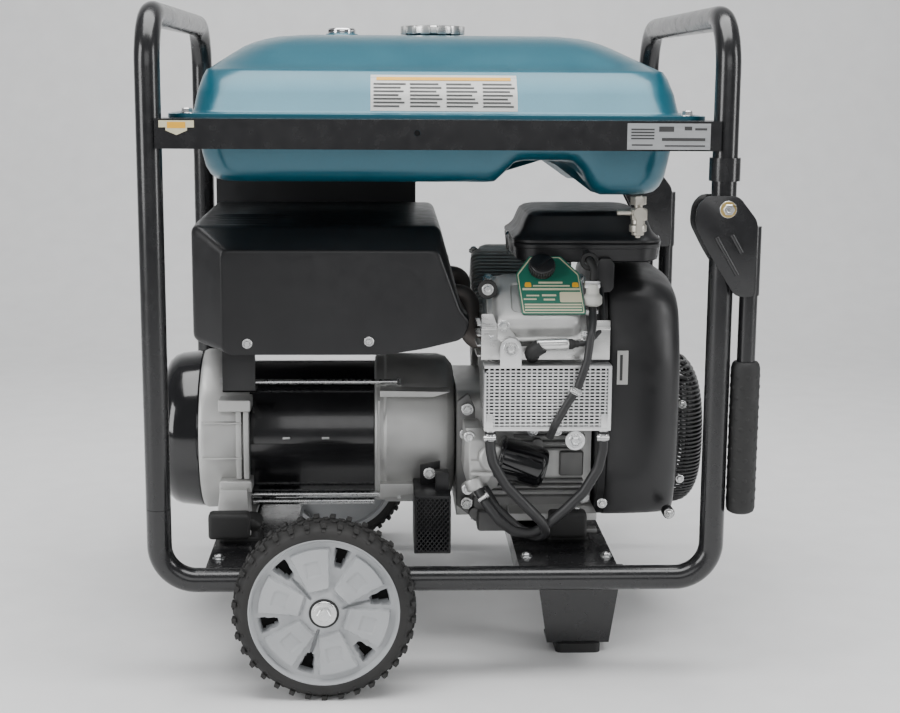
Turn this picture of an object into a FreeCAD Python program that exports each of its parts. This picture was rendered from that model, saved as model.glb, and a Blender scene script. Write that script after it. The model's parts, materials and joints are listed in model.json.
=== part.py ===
import FreeCAD, Part
import math
import os

V = FreeCAD.Vector
os.makedirs("parts", exist_ok=True)

# ---------------------------------------------------------------- driving dimensions (mm)
# X runs from the alternator (left) to the recoil fan (right), -Y is the near side, Z is up.
FRAME_LENGTH = 768.0        # between the centres of the end tubes
FRAME_WIDTH = 640.0         # between the centres of the near and far tubes
TUBE_R = 17.0               # steel tube outer radius
TUBE_WALL = 2.0
TOP_BAR_Z = 918.0           # centre of the two top bars
RAIL_TUBE_Z = 147.0         # centre of the two bottom rails
BOTTOM_BEND_R = 103.0
TOP_BEND_R = 70.0
WHEEL_R = 125.0
WHEEL_X = -155.0
WHEEL_WIDTH = 58.0
ENGINE_Z = 292.0            # height of the crankshaft line
HANDLE_Z = 665.0            # height of the handle pivots
V_LEAN = 45.0               # each cylinder leans this far from upright, in degrees
CENTRE_X = 15.75            # middle of the whole object, moved to X = 0 on export

# ---------------------------------------------------------------- worked-out places
END_X = FRAME_LENGTH / 2
SIDE_Y = FRAME_WIDTH / 2
TUBE_OUT_Y = SIDE_Y + TUBE_R
BEND_TOP_Z = RAIL_TUBE_Z + BOTTOM_BEND_R
TANK_HALF_X = 364.0
TANK_HALF_Y = 300.0
TANK_BOLT_XS = (-337, 337)
CROSS_TOP_Z = RAIL_TUBE_Z + 13.0
MOUNT_TOP_Z = CROSS_TOP_Z + 33.0

X_AXIS = V(1, 0, 0)
Y_AXIS = V(0, 1, 0)
Z_AXIS = V(0, 0, 1)


# ---------------------------------------------------------------- small helpers
def box(x0, x1, y0, y1, z0, z1):
    return Part.makeBox(x1 - x0, y1 - y0, z1 - z0, V(x0, y0, z0))


def rod(start, end, radius):
    """Round bar from one point to another."""
    way = end - start
    return Part.makeCylinder(radius, way.Length, start, way)


def ring(start, end, outer, inner):
    return rod(start, end, outer).cut(rod(start, end, inner))


def soft_box(x0, x1, y0, y1, z0, z1, radius, along=Z_AXIS):
    """Box with the four edges that run along one axis rounded."""
    block = box(x0, x1, y0, y1, z0, z1)
    edges = [e for e in block.Edges
             if abs((e.Vertexes[1].Point - e.Vertexes[0].Point).normalize().dot(along)) > 0.9]
    return block.makeFillet(radius, edges)


def prism(points, normal_length):
    """Flat outline pushed along a direction."""
    face = Part.Face(Part.makePolygon(points + [points[0]]))
    return face.extrude(normal_length)


def hexagon(centre, axis, across_flats, height):
    """Hexagonal head with its base at centre and its height along axis."""
    corner = across_flats / math.sqrt(3)
    points = [V(corner * math.cos(math.radians(a)), corner * math.sin(math.radians(a)), 0)
              for a in range(30, 390, 60)]
    head = prism(points, V(0, 0, height))
    head.Placement = FreeCAD.Placement(centre, FreeCAD.Rotation(Z_AXIS, axis))
    return head


def spun(profile, centre, axis):
    """Turned piece: profile is a list of (radius, distance along axis)."""
    points = [V(r, 0, h) for r, h in profile]
    face = Part.Face(Part.makePolygon(points + [points[0]]))
    shape = face.revolve(V(0, 0, 0), Z_AXIS, 360)
    shape.Placement = FreeCAD.Placement(centre, FreeCAD.Rotation(Z_AXIS, axis))
    return shape


def fused(shapes):
    if len(shapes) == 1:
        return shapes[0]
    return shapes[0].multiFuse(shapes[1:]).removeSplitter()


def largest(shape):
    """Drop the slivers a cut leaves behind."""
    return max(shape.Solids, key=lambda solid: solid.Volume)


def mirrored(shape):
    """The same piece on the far side."""
    return shape.mirror(V(0, 0, 0), Y_AXIS)


def both_sides(shape):
    return [shape, mirrored(shape)]


def save(name, shapes):
    """Write one sub-part: its separate solids side by side in one file."""
    solids = []
    for shape in (shapes if isinstance(shapes, list) else [shapes]):
        solids += shape.Solids
    for solid in solids:
        if not solid.isValid():
            print("not valid:", name)
    group = solids[0] if len(solids) == 1 else Part.makeCompound(solids)
    group.translate(V(-CENTRE_X, 0, 0))
    group.exportStep("parts/" + name + ".step")
    size = group.BoundBox
    print("%-24s %2d solids  x %6.0f..%-6.0f y %6.0f..%-6.0f z %6.0f..%-6.0f" % (
        name, len(solids), size.XMin, size.XMax, size.YMin, size.YMax, size.ZMin, size.ZMax))


# ---------------------------------------------------------------- tube frame
PIVOT_X = END_X + 2.4
PIVOT_R = 5.0


def section(centre, normal, outer, inner):
    """Round face, or a ring-shaped one when there is an inner radius."""
    face = Part.Face(Part.Wire(Part.makeCircle(outer, centre, normal)))
    if inner is None:
        return face
    return face.cut(Part.Face(Part.Wire(Part.makeCircle(inner, centre, normal)))).Faces[0]


def swept_tube(points, bend_radius, outer, inner=None):
    """Tube or solid bar of straight runs joined by round bends."""
    pieces = []
    last = points[0]
    for before, corner, after in zip(points, points[1:], points[2:]):
        back = (before - corner).normalize()
        ahead = (after - corner).normalize()
        turn = math.pi - back.getAngle(ahead)
        enter = corner + back * (bend_radius * math.tan(turn / 2))
        leave = corner + ahead * (bend_radius * math.tan(turn / 2))
        centre = corner + (back + ahead).normalize() * (bend_radius / math.cos(turn / 2))
        if (enter - last).Length > 0.1:
            pieces.append(section(last, back, outer, inner).extrude(enter - last))
        bend = section(enter, back, outer, inner)
        pieces.append(bend.revolve(centre, ahead.cross(back), math.degrees(turn)))
        last = leave
    if (points[-1] - last).Length > 0.1:
        pieces.append(section(last, points[-1] - last, outer, inner).extrude(points[-1] - last))
    return fused(pieces)


def rail_bar():
    """Outside of the near bottom rail, filled."""
    return swept_tube(RAIL_POINTS, BOTTOM_BEND_R, TUBE_R)


def end_hoop(x):
    """Two legs and the top bar of one end."""
    points = [V(x, -SIDE_Y, BEND_TOP_Z), V(x, -SIDE_Y, TOP_BAR_Z),
              V(x, SIDE_Y, TOP_BAR_Z), V(x, SIDE_Y, BEND_TOP_Z)]
    hoop = swept_tube(points, TOP_BEND_R, TUBE_R, TUBE_R - TUBE_WALL)
    pivot_hole = rod(V(PIVOT_X, -SIDE_Y - 40, HANDLE_Z), V(PIVOT_X, -SIDE_Y + 40, HANDLE_Z), PIVOT_R)
    return hoop.cut(pivot_hole).cut(mirrored(pivot_hole)) if x > 0 else hoop


RAIL_POINTS = [V(-END_X, -SIDE_Y, BEND_TOP_Z), V(-END_X, -SIDE_Y, RAIL_TUBE_Z),
               V(END_X, -SIDE_Y, RAIL_TUBE_Z), V(END_X, -SIDE_Y, BEND_TOP_Z)]


def bottom_rail():
    """Lower rail of the near side with the bend at each end."""
    return swept_tube(RAIL_POINTS, BOTTOM_BEND_R, TUBE_R, TUBE_R - TUBE_WALL)


def tank_rail():
    """Angle rail that ties the two hoops and carries the tank: web outside, ledge on top."""
    outer_y = -(TUBE_OUT_Y + 3)
    end = END_X - 10
    rail = fused([
        box(-end, end, outer_y, outer_y + 3, 742, 781.5),
        box(-end, end, outer_y, -TANK_HALF_Y + 22, 778.5, 781.5)])
    legs = [rod(V(x, -SIDE_Y, 700), V(x, -SIDE_Y, 800), TUBE_R) for x in (-END_X, END_X)]
    rail = rail.cut(Part.makeCompound(legs))
    hole = rod(V(-30, outer_y - 1, 764), V(-30, outer_y + 4, 764), 4)
    bolt_holes = [rod(V(x, -TANK_HALF_Y + 12, 770), V(x, -TANK_HALF_Y + 12, 790), 4.5)
                  for x in TANK_BOLT_XS]
    return rail.cut(hole).cut(Part.makeCompound(bolt_holes))




def cross_member(x0, x1):
    """Folded channel across the two bottom rails."""
    inner = SIDE_Y + 6
    z0 = RAIL_TUBE_Z - 14
    block = box(x0, x1, -inner, inner, z0, CROSS_TOP_Z)
    hollow = box(x0 + 3, x1 - 3, -inner - 1, inner + 1, z0 - 1, CROSS_TOP_Z - 3)
    return largest(block.cut(hollow).cut(rail_bar()).cut(mirrored(rail_bar())))


LEFT_CROSS = (-323.0, -206.0)
RIGHT_CROSS = (116.0, 255.0)
LEG_Y = 217.0
LEG_X = (RIGHT_CROSS[0] + RIGHT_CROSS[1]) / 2 + 27


def support_leg():
    """Tapered folded leg hanging from the right cross member."""
    top_z = RAIL_TUBE_Z - 14
    plate = prism([V(LEG_X - 64, -LEG_Y - 2, top_z), V(LEG_X + 64, -LEG_Y - 2, top_z),
                   V(LEG_X + 46, -LEG_Y - 2, 14), V(LEG_X - 46, -LEG_Y - 2, 14)], V(0, 4, 0))
    plate = plate.common(box(0, 400, -LEG_Y - 3, -LEG_Y + 3, 0, 200))
    sole = soft_box(LEG_X - 46, LEG_X + 46, -LEG_Y - 2, -LEG_Y + 50, 14, 18, 8)
    head = box(RIGHT_CROSS[0], RIGHT_CROSS[1], -LEG_Y - 2, -LEG_Y + 50, top_z - 3, top_z)
    side = box(LEG_X - 20, LEG_X - 16, -LEG_Y, -LEG_Y + 46, 18, top_z - 3)
    return fused([plate, sole, head, side, side.translated(V(36, 0, 0))])


def rubber_foot():
    """Rubber block under one leg."""
    return soft_box(LEG_X - 33, LEG_X + 33, -LEG_Y - 8, -LEG_Y + 48, 0, 14, 9)


def vibration_mount(x, y, width):
    """Rubber block between a cross member and the engine."""
    return soft_box(x - width / 2, x + width / 2, y - 26, y + 26, CROSS_TOP_Z, MOUNT_TOP_Z, 8)


# ---------------------------------------------------------------- wheels
WHEEL_IN_Y = SIDE_Y + 24.0
WHEEL_OUT_Y = WHEEL_IN_Y + WHEEL_WIDTH
AXLE_R = 7.5


def wheel_bracket():
    """Plate welded to the outside of the bottom rail that carries one axle."""
    top = RAIL_TUBE_Z + 14
    inner = -(TUBE_OUT_Y + 6)
    plate = prism([V(WHEEL_X - 36, inner, top), V(WHEEL_X + 36, inner, top),
                   V(WHEEL_X + 20, inner, WHEEL_R - 26), V(WHEEL_X - 20, inner, WHEEL_R - 26)],
                  V(0, 6, 0))
    saddle = box(WHEEL_X - 36, WHEEL_X + 36, -TUBE_OUT_Y, -SIDE_Y, RAIL_TUBE_Z - 14, top)
    tube = rod(V(WHEEL_X - 40, -SIDE_Y, RAIL_TUBE_Z), V(WHEEL_X + 40, -SIDE_Y, RAIL_TUBE_Z), TUBE_R)
    hole = rod(V(WHEEL_X, inner - 1, WHEEL_R), V(WHEEL_X, -SIDE_Y, WHEEL_R), AXLE_R)
    return fused([plate, saddle.cut(tube)]).cut(hole)


def axle():
    """Stub axle fixed in the plate; the wheel turns on it."""
    stub = rod(V(WHEEL_X, -TUBE_OUT_Y - 0.5, WHEEL_R), V(WHEEL_X, -WHEEL_OUT_Y - 10, WHEEL_R), AXLE_R)
    collar = rod(V(WHEEL_X, -TUBE_OUT_Y - 6, WHEEL_R), V(WHEEL_X, -WHEEL_IN_Y - 0.6, WHEEL_R), 12)
    return stub.fuse(collar.cut(stub)).removeSplitter()


def axle_nut():
    """Washer and lock nut outside the hub."""
    washer = rod(V(WHEEL_X, -WHEEL_OUT_Y - 0.5, WHEEL_R), V(WHEEL_X, -WHEEL_OUT_Y - 2.5, WHEEL_R), 15)
    nut = hexagon(V(WHEEL_X, -WHEEL_OUT_Y - 2.5, WHEEL_R), V(0, -1, 0), 19, 7)
    hole = rod(V(WHEEL_X, -WHEEL_OUT_Y, WHEEL_R), V(WHEEL_X, -WHEEL_OUT_Y - 12, WHEEL_R), AXLE_R)
    return washer.fuse(nut).cut(hole)


def wheel_rim():
    """Moulded rim: hub, dished web with six windows, barrel."""
    rim = spun([(AXLE_R + 0.06, 3.4), (24, 3.4), (30, 12), (92, 20), (100, 3), (104, 3), (104, 55),
                (100, 55), (92, 34), (30, 26), (24, 57.6), (AXLE_R + 0.06, 57.6)],
               V(WHEEL_X, -WHEEL_IN_Y + 0, WHEEL_R), V(0, -1, 0))
    windows = []
    for k in range(6):
        angle = math.radians(15 + 60 * k)
        middle = V(WHEEL_X + 82 * math.cos(angle), -WHEEL_IN_Y + 5, WHEEL_R + 82 * math.sin(angle))
        windows.append(rod(middle, middle + V(0, -60, 0), 7.5))
    return rim.cut(Part.makeCompound(windows))


def wheel_tyre():
    """Solid rubber tyre on the barrel of the rim."""
    return spun([(104, 3), (112, 1.5), (WHEEL_R - 5, 4), (WHEEL_R, 12), (WHEEL_R, 46),
                 (WHEEL_R - 5, 54), (112, 56.5), (104, 55)],
                V(WHEEL_X, -WHEEL_IN_Y, WHEEL_R), V(0, -1, 0))


# ---------------------------------------------------------------- folding handles
HANDLE_BOTTOM_Z = 247.0
GRIP_R = 20.0
HANDLE_X = END_X + 39.0


def handle_sleeve():
    """Reinforcing sleeve fixed on the hoop leg above the pivot."""
    return ring(V(END_X, -SIDE_Y, HANDLE_Z + 37), V(END_X, -SIDE_Y, 733), TUBE_R + 4, TUBE_R)


def pivot_bolt():
    """Bolt right through the leg with a head and a nut outside the handle bracket."""
    half = TUBE_R + 4.2
    shank = rod(V(PIVOT_X, -SIDE_Y - half, HANDLE_Z), V(PIVOT_X, -SIDE_Y + half, HANDLE_Z), PIVOT_R)
    near_head = hexagon(V(PIVOT_X, -SIDE_Y - half, HANDLE_Z), V(0, -1, 0), 17, 7)
    far_nut = hexagon(V(PIVOT_X, -SIDE_Y + half, HANDLE_Z), V(0, 1, 0), 17, 7)
    return fused([shank, near_head, far_nut])


def handle_lever():
    """Two cheek plates astride the leg, joined to the swinging tube."""
    inner = TUBE_R + 0.6
    outer = inner + 3.2
    corners = ((-44, -22), (-42, 4), (-30, 18), (14, 18), (41, -16), (41, -118), (14, -118), (-26, -56))
    outline = [V(PIVOT_X + dx, 0, HANDLE_Z + dz) for dx, dz in corners]
    plate = prism(outline, V(0, outer - inner, 0))
    near_cheek = plate.translated(V(0, -SIDE_Y - outer, 0))
    far_cheek = plate.translated(V(0, -SIDE_Y + inner, 0))
    socket = rod(V(HANDLE_X, -SIDE_Y, HANDLE_Z - 24), V(HANDLE_X, -SIDE_Y, HANDLE_Z - 112), 13.2)
    socket = socket.fuse(box(HANDLE_X - 12.6, HANDLE_X + 12.6, -SIDE_Y - inner, -SIDE_Y + inner,
                             HANDLE_Z - 96, HANDLE_Z - 24)
                         .cut(box(0, END_X + TUBE_R + 1, -400, 0, 0, 900)))
    tube = rod(V(HANDLE_X, -SIDE_Y, HANDLE_Z - 24), V(HANDLE_X, -SIDE_Y, HANDLE_BOTTOM_Z), 12.5)
    lever = fused([near_cheek, far_cheek, socket, tube])
    hole = rod(V(PIVOT_X, -SIDE_Y - 40, HANDLE_Z), V(PIVOT_X, -SIDE_Y + 40, HANDLE_Z), PIVOT_R + 0.05)
    return lever.cut(hole)


def handle_grip():
    """Rubber grip over the lower end of the tube."""
    grip = spun([(12.5, 6), (12.5, 214), (GRIP_R - 1, 214), (GRIP_R, 210), (GRIP_R, 4),
                 (GRIP_R - 3, 0), (0, 0), (0, 6)],
                V(HANDLE_X, -SIDE_Y, HANDLE_BOTTOM_Z - 6), Z_AXIS)
    return grip


# ---------------------------------------------------------------- fuel tank
def tank_loft(levels):
    """Shell through rounded rectangles: each level is (z, x0, x1, half_y, corner)."""
    wires = []
    for z, x0, x1, half_y, corner in levels:
        face = soft_box(x0, x1, -half_y, half_y, z, z + 1, corner)
        bottom = [f for f in face.Faces if abs(f.CenterOfMass.z - z) < 0.01][0]
        wires.append(bottom.OuterWire)
    return Part.makeLoft(wires, True, True)


SUMP_X = (228.0, 300.0)
CAP_Z = 897.0


def tank_upper_shell():
    """Pressed upper half with the flange, shoulder crease and crown."""
    flange = soft_box(-TANK_HALF_X, TANK_HALF_X, -TANK_HALF_Y, TANK_HALF_Y, 784, 787, 26)
    crown = tank_loft([(787, -334, 334, 270, 44), (843, -322, 322, 222, 60),
                       (882, -272, 256, 152, 60), (896, -230, 214, 100, 50)])
    shell = flange.fuse(crown).removeSplitter()
    neck = rod(V(0, 0, 880), V(0, 0, 905), 31)
    gauge_boss = rod(V(-137, 0, 880), V(-137, 0, 898), 23)
    shell = fused([shell, neck, gauge_boss])
    hollow = tank_loft([(784, -331, 331, 267, 42), (841, -319, 319, 219, 58),
                        (879, -270, 254, 150, 58), (893, -228, 212, 98, 48)])
    shell = shell.cut(hollow).cut(box(-331, 331, -267, 267, 783, 785))
    shell = shell.cut(rod(V(0, 0, 870), V(0, 0, 910), 27))
    shell = shell.cut(rod(V(-137, 0, 870), V(-137, 0, 899), 8))
    return shell.cut(Part.makeCompound(tank_bolt_holes()))


def tank_lower_shell():
    """Pressed lower half, arched over the air cleaner, with the sump at the right."""
    flange = soft_box(-TANK_HALF_X, TANK_HALF_X, -TANK_HALF_Y, TANK_HALF_Y, 781.5, 784, 26)
    bowl = tank_loft([(784, -334, 334, 262, 44), (760, -330, 330, 258, 44),
                      (700, -318, 322, 232, 44), (691, -308, 314, 222, 40)])
    sump = soft_box(SUMP_X[0], SUMP_X[1], -218, 120, 674, 700, 16)
    shell = flange.fuse(bowl).fuse(sump).removeSplitter()
    hollow = tank_loft([(784.5, -331, 331, 259, 42), (760, -327, 327, 255, 42),
                        (702, -315, 319, 229, 42), (694, -306, 312, 220, 38)])
    hollow = hollow.fuse(soft_box(SUMP_X[0] + 3, SUMP_X[1] - 3, -215, 117, 677, 705, 13))
    shell = shell.cut(hollow)
    arch = arch_tunnel(0)
    shell = shell.cut(arch)
    lining = arch_tunnel(3).cut(arch).common(fused([bowl]))
    shell = shell.fuse(lining).removeSplitter()
    tap_hole = rod(V(TAP_X, TAP_Y, 665), V(TAP_X, TAP_Y, 685), 6)
    return shell.cut(tap_hole).cut(Part.makeCompound(tank_bolt_holes()))


def arch_tunnel(grow):
    """Raised channel in the belly of the tank."""
    points = [V(80 - grow, -300, 680), V(111 - grow / 2, -300, 722 + grow),
              V(189 + grow / 2, -300, 722 + grow), V(224 + grow, -300, 680)]
    return prism(points, V(0, 600, 0))


def tank_bolt_holes():
    return [rod(V(x, y, 775), V(x, y, 795), 4.5)
            for x in TANK_BOLT_XS for y in (-TANK_HALF_Y + 12, TANK_HALF_Y - 12)]


def tank_bolt(x, y):
    """Flange bolt with its washer and the nut under the rail."""
    shank = rod(V(x, y, 770), V(x, y, 789), 4.4)
    washer = rod(V(x, y, 787), V(x, y, 789), 10)
    head = hexagon(V(x, y, 789), Z_AXIS, 13, 6)
    nut = hexagon(V(x, y, 778.5), V(0, 0, -1), 13, 6)
    return fused([shank, washer, head, nut])


def fuel_cap():
    """Screw cap over the neck with a castellated skirt."""
    cap = spun([(0, CAP_Z + 9), (31.5, CAP_Z + 9), (31.5, CAP_Z + 2), (38, CAP_Z + 2), (46, CAP_Z + 3),
                (49, CAP_Z + 6), (49, CAP_Z + 11), (44, CAP_Z + 15.5), (30, CAP_Z + 16.5),
                (0, CAP_Z + 16.5)], V(0, 0, 0), Z_AXIS)
    notches = []
    for k in range(12):
        angle = math.radians(30 * k)
        middle = V(53 * math.cos(angle), 53 * math.sin(angle), CAP_Z - 2)
        notches.append(rod(middle, middle + V(0, 0, 30), 9))
    return cap.cut(Part.makeCompound(notches))


def fuel_gauge():
    """Sealed dial in a plated ring, with its float rod in the tank."""
    dial = spun([(0, 892), (7.9, 892), (7.9, 898), (21, 898), (21, 906), (17, 908), (0, 908)],
                V(-137, 0, 0), Z_AXIS)
    stem = rod(V(-137, 0, 892), V(-137, 0, 800), 3)
    float_block = soft_box(-147, -127, -14, 14, 780, 800, 4)
    return fused([dial, stem, float_block])


TAP_X = 287.0
TAP_Y = -203.0


def fuel_tap():
    """Tap screwed into the sump, with its strainer bowl."""
    body = fused([
        rod(V(TAP_X, TAP_Y, 684), V(TAP_X, TAP_Y, 650), 5.9),
        hexagon(V(TAP_X, TAP_Y, 661), Z_AXIS, 20, 12.9),
        soft_box(TAP_X - 12, TAP_X + 12, TAP_Y - 11, TAP_Y + 11, 638, 661, 4),
        rod(V(TAP_X, TAP_Y, 638), V(TAP_X, TAP_Y, 613), 12.5),
        rod(V(TAP_X, TAP_Y, 649), V(TAP_X - 24, TAP_Y, 649), 4)])
    return body.cut(rod(V(TAP_X, TAP_Y - 12, 649), V(TAP_X, TAP_Y, 649), 4.06))


def fuel_tap_lever():
    """Lever on the front of the tap."""
    pin = rod(V(TAP_X, TAP_Y - 4, 649), V(TAP_X, TAP_Y - 17, 649), 4)
    knob = rod(V(TAP_X, TAP_Y - 11.6, 649), V(TAP_X, TAP_Y - 19, 649), 8.5)
    blade = soft_box(TAP_X - 4.5, TAP_X + 4.5, TAP_Y - 18.5, TAP_Y - 13.2, 619, 649, 2.8, Y_AXIS)
    return fused([pin, knob, blade])


# ---------------------------------------------------------------- alternator
def along_x(profile):
    """Turned piece on the crankshaft line: profile is (x, radius)."""
    return spun([(r, x) for x, r in profile], V(0, 0, ENGINE_Z), X_AXIS)


STATOR = (-278.0, -88.0)
STATOR_R = 105.0
ROD_Z = 88.0


def alternator_end_cover():
    """Dished plastic cover at the left end, vented at its edge."""
    cover = along_x([(-352, 122), (-392, 120), (-405, 110), (-411.5, 92), (-411.5, 0), (-408.5, 0),
                     (-408.5, 91), (-402.5, 107.5), (-390.5, 117), (-352, 119)])
    return cover


def alternator_rear_bracket():
    """Cast end bracket with the bearing boss, lugs and foot."""
    bell = along_x([(-351.6, 20.1), (-351.6, 36), (-340, 40), (-340, 108), (-351.6, 116),
                    (-351.6, 122), (-340, 124), (-300, 122), (STATOR[0], STATOR_R + 6),
                    (STATOR[0], STATOR_R - 5), (-300, 112), (-332, 100), (-332, 36), (-322, 30),
                    (-322, 20.1)])
    lugs = []
    for dy in (-1, 1):
        for dz in (-1, 1):
            lug = rod(V(-316, dy * 78, ENGINE_Z + dz * ROD_Z), V(-284, dy * 78, ENGINE_Z + dz * ROD_Z), 13)
            lugs.append(lug)
    foot = box(-330, -256, -180, 180, MOUNT_TOP_Z, MOUNT_TOP_Z + 9)
    web_near = box(-322, -288, -118, -84, MOUNT_TOP_Z + 8, ENGINE_Z - 62)
    web_far = box(-322, -288, 84, 118, MOUNT_TOP_Z + 8, ENGINE_Z - 62)
    body = fused([bell] + lugs + [foot, web_near, web_far])
    inside = along_x([(STATOR[0] + 1, 0), (STATOR[0] + 1, STATOR_R - 5), (-300, 112), (-332, 100),
                      (-332, 0)])
    body = body.cut(inside.cut(along_x([(-333, 0), (-333, 36), (-322, 30), (-322, 0)])))
    body = body.cut(along_x([(-360, 0), (-360, 20.1), (-300, 20.1), (-300, 0)]))
    body = body.cut(Part.makeCompound(through_rod_holes()))
    return body.cut(alternator_room())


def alternator_room():
    """Space kept clear for the lamination pack."""
    return along_x([(STATOR[0], 0), (STATOR[0], STATOR_R + 60), (STATOR[1], STATOR_R + 60),
                    (STATOR[1], 0)])


def through_rod_lines():
    return [(dy * 78, ENGINE_Z + dz * ROD_Z) for dy in (-1, 1) for dz in (-1, 1)]


def through_rod_holes():
    """Holes for the four studs with a pocket for each head and nut."""
    holes = []
    for y, z in through_rod_lines():
        holes.append(rod(V(-330, y, z), V(40, y, z), 4.2))
        holes.append(rod(V(-345, y, z), V(-316, y, z), 9))
        holes.append(rod(V(-54, y, z), V(40, y, z), 9))
    return holes


def alternator_stator():
    """Laminated ring inside its wrap."""
    pack = along_x([(STATOR[0], 70), (STATOR[0], STATOR_R), (STATOR[1], STATOR_R), (STATOR[1], 70)])
    return pack


def alternator_front_bracket():
    """Cast adapter between the stator and the engine."""
    bell = along_x([(STATOR[1], STATOR_R - 5), (STATOR[1], STATOR_R + 6), (-70, 116), (-20, 112),
                    (24, 96), (34, 96), (34, 82), (20, 82), (-22, 100), (-66, 104)])
    lugs = [rod(V(-84, y, z), V(-54, y, z), 13) for y, z in through_rod_lines()]
    inside = along_x([(STATOR[1], 0), (STATOR[1], STATOR_R - 5), (-66, 104), (-22, 100), (20, 82),
                      (40, 82), (40, 0)])
    body = fused([bell] + lugs).cut(inside)
    body = body.cut(Part.makeCompound(through_rod_holes()))
    return body.cut(alternator_room())


def alternator_rods():
    """Four long studs that clamp the two brackets on the stator."""
    rods = []
    for y, z in through_rod_lines():
        head = hexagon(V(-316, y, z), V(-1, 0, 0), 13, 6)
        nut = hexagon(V(-54, y, z), X_AXIS, 13, 6)
        shank = rod(V(-317, y, z), V(-53, y, z), 4)
        rods.append(fused([head, nut, shank]))
    return rods


def alternator_rotor():
    """Wound rotor on its shaft."""
    shaft = along_x([(-380, 0), (-380, 12), (-352, 12), (-352, 20), (-321.5, 20), (-321.5, 24), (-270, 24),
                     (-270, 69.4), (-96, 69.4), (-96, 24), (-40, 24), (-40, 16), (-20, 16), (-20, 0)])
    slots = []
    for angle in (45, 135, 225, 315):
        slot = box(-275, -90, 60, 80, -9, 9)
        slot.rotate(V(0, 0, 0), X_AXIS, angle)
        slot.translate(V(0, 0, ENGINE_Z))
        slots.append(slot)
    return shaft.cut(Part.makeCompound(slots))


# ---------------------------------------------------------------- engine
ENGINE_X = (36.0, 238.0)
FIN_PITCH = 7.0
HEAD_H = 310.0              # crankshaft line to the top face of a cylinder head
COVER_H = 30.0              # height of a rocker cover
FILLER_X = 149.0
FILLER_ACROSS = 40.0        # the oil filler sits this far up the slope of its cover
NECK_H = 8.0


def case_block():
    """Outside of the crank case, filled."""
    return soft_box(ENGINE_X[0], ENGINE_X[1], -128, 128, 178, 372, 26, X_AXIS)


def cylinder_bore():
    middle = (ENGINE_X[0] + 34 + ENGINE_X[1] - 24) / 2
    return lean(rod(V(middle, 0, ENGINE_Z + 60), V(middle, 0, ENGINE_Z + HEAD_H - 41), 40))


def crankcase():
    """Cast case with a hollow crank chamber and the drain boss at its base."""
    outer = fused([
        case_block(),
        soft_box(60, 214, -96, 96, 165, 190, 11, X_AXIS),
        box(112, 240, -190, 190, MOUNT_TOP_Z, MOUNT_TOP_Z + 10)])
    chamber = soft_box(ENGINE_X[0] + 9, ENGINE_X[1] - 9, -112, 112, 192, 358, 20, X_AXIS)
    shaft_way = rod(V(0, 0, ENGINE_Z), V(300, 0, ENGINE_Z), 20.06)
    filter_stub = rod(V(78, -120, 262), V(78, -150, 262), 22)
    case = outer.fuse(filter_stub).cut(chamber).cut(shaft_way)
    return case.cut(cylinder_bore()).cut(mirrored(cylinder_bore()))


def crankshaft():
    """Journals, webs and crank pin."""
    main = along_x([(-19.6, 0), (-19.6, 20), (60, 20), (60, 20), (300, 20), (300, 14), (372, 14), (372, 0)])
    web = along_x([(84, 0), (84, 55), (100, 55), (100, 0)])
    other_web = along_x([(176, 0), (176, 55), (192, 55), (192, 0)])
    middle_gap = along_x([(100, 0), (100, 30), (176, 30), (176, 0)])
    pin = rod(V(100, 0, ENGINE_Z + 32), V(176, 0, ENGINE_Z + 32), 18)
    return fused([main.cut(middle_gap), web, other_web, pin])


def lean(shape):
    """Turn an upright near cylinder outwards from the crankshaft line to its V angle."""
    turned = shape.copy()
    turned.rotate(V(0, 0, ENGINE_Z), X_AXIS, V_LEAN)
    return turned


def cylinder():
    """Finned barrel and head, leaning towards the near side, hollow bore."""
    x0, x1 = ENGINE_X[0] + 34, ENGINE_X[1] - 24
    core = soft_box(x0 + 10, x1 - 10, -52, 52, ENGINE_Z + 95, ENGINE_Z + HEAD_H, 20)
    fins = []
    z = ENGINE_Z + 142
    while z < ENGINE_Z + HEAD_H - 10:
        fins.append(soft_box(x0, x1, -66, 66, z, z + 2.6, 14))
        z += FIN_PITCH
    body = fused([core] + fins)
    return lean(body).cut(cylinder_bore()).cut(case_block())


def rocker_cover():
    """Cast cover closing one cylinder head, with the neck of the oil filler."""
    x0, x1 = ENGINE_X[0] + 42, ENGINE_X[1] - 32
    top = ENGINE_Z + HEAD_H + COVER_H
    cover = soft_box(x0, x1, -52, 52, ENGINE_Z + HEAD_H, top, 16)
    neck = rod(V(FILLER_X, FILLER_ACROSS, top - 2), V(FILLER_X, FILLER_ACROSS, top + NECK_H), 15)
    return lean(cover.fuse(neck))


def oil_filler_cap():
    """Ribbed knob of the oil filler, square to the rocker cover."""
    cap = spun([(0, 0), (12, 0), (12, 4), (19, 4), (19, 18), (16, 21), (0, 21)],
               V(0, 0, 0), Z_AXIS)
    notches = [rod(V(21 * math.cos(math.radians(a)), 21 * math.sin(math.radians(a)), 3),
                   V(21 * math.cos(math.radians(a)), 21 * math.sin(math.radians(a)), 30), 3.2)
               for a in range(0, 360, 30)]
    cap = cap.cut(Part.makeCompound(notches))
    cap.translate(V(FILLER_X, FILLER_ACROSS, ENGINE_Z + HEAD_H + COVER_H + NECK_H + 0.4))
    return lean(cap)


COOLER_X = (66.0, 245.0)
COOLER_Z = (348.0, 441.0)
COOLER_Y = -262.0


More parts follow.
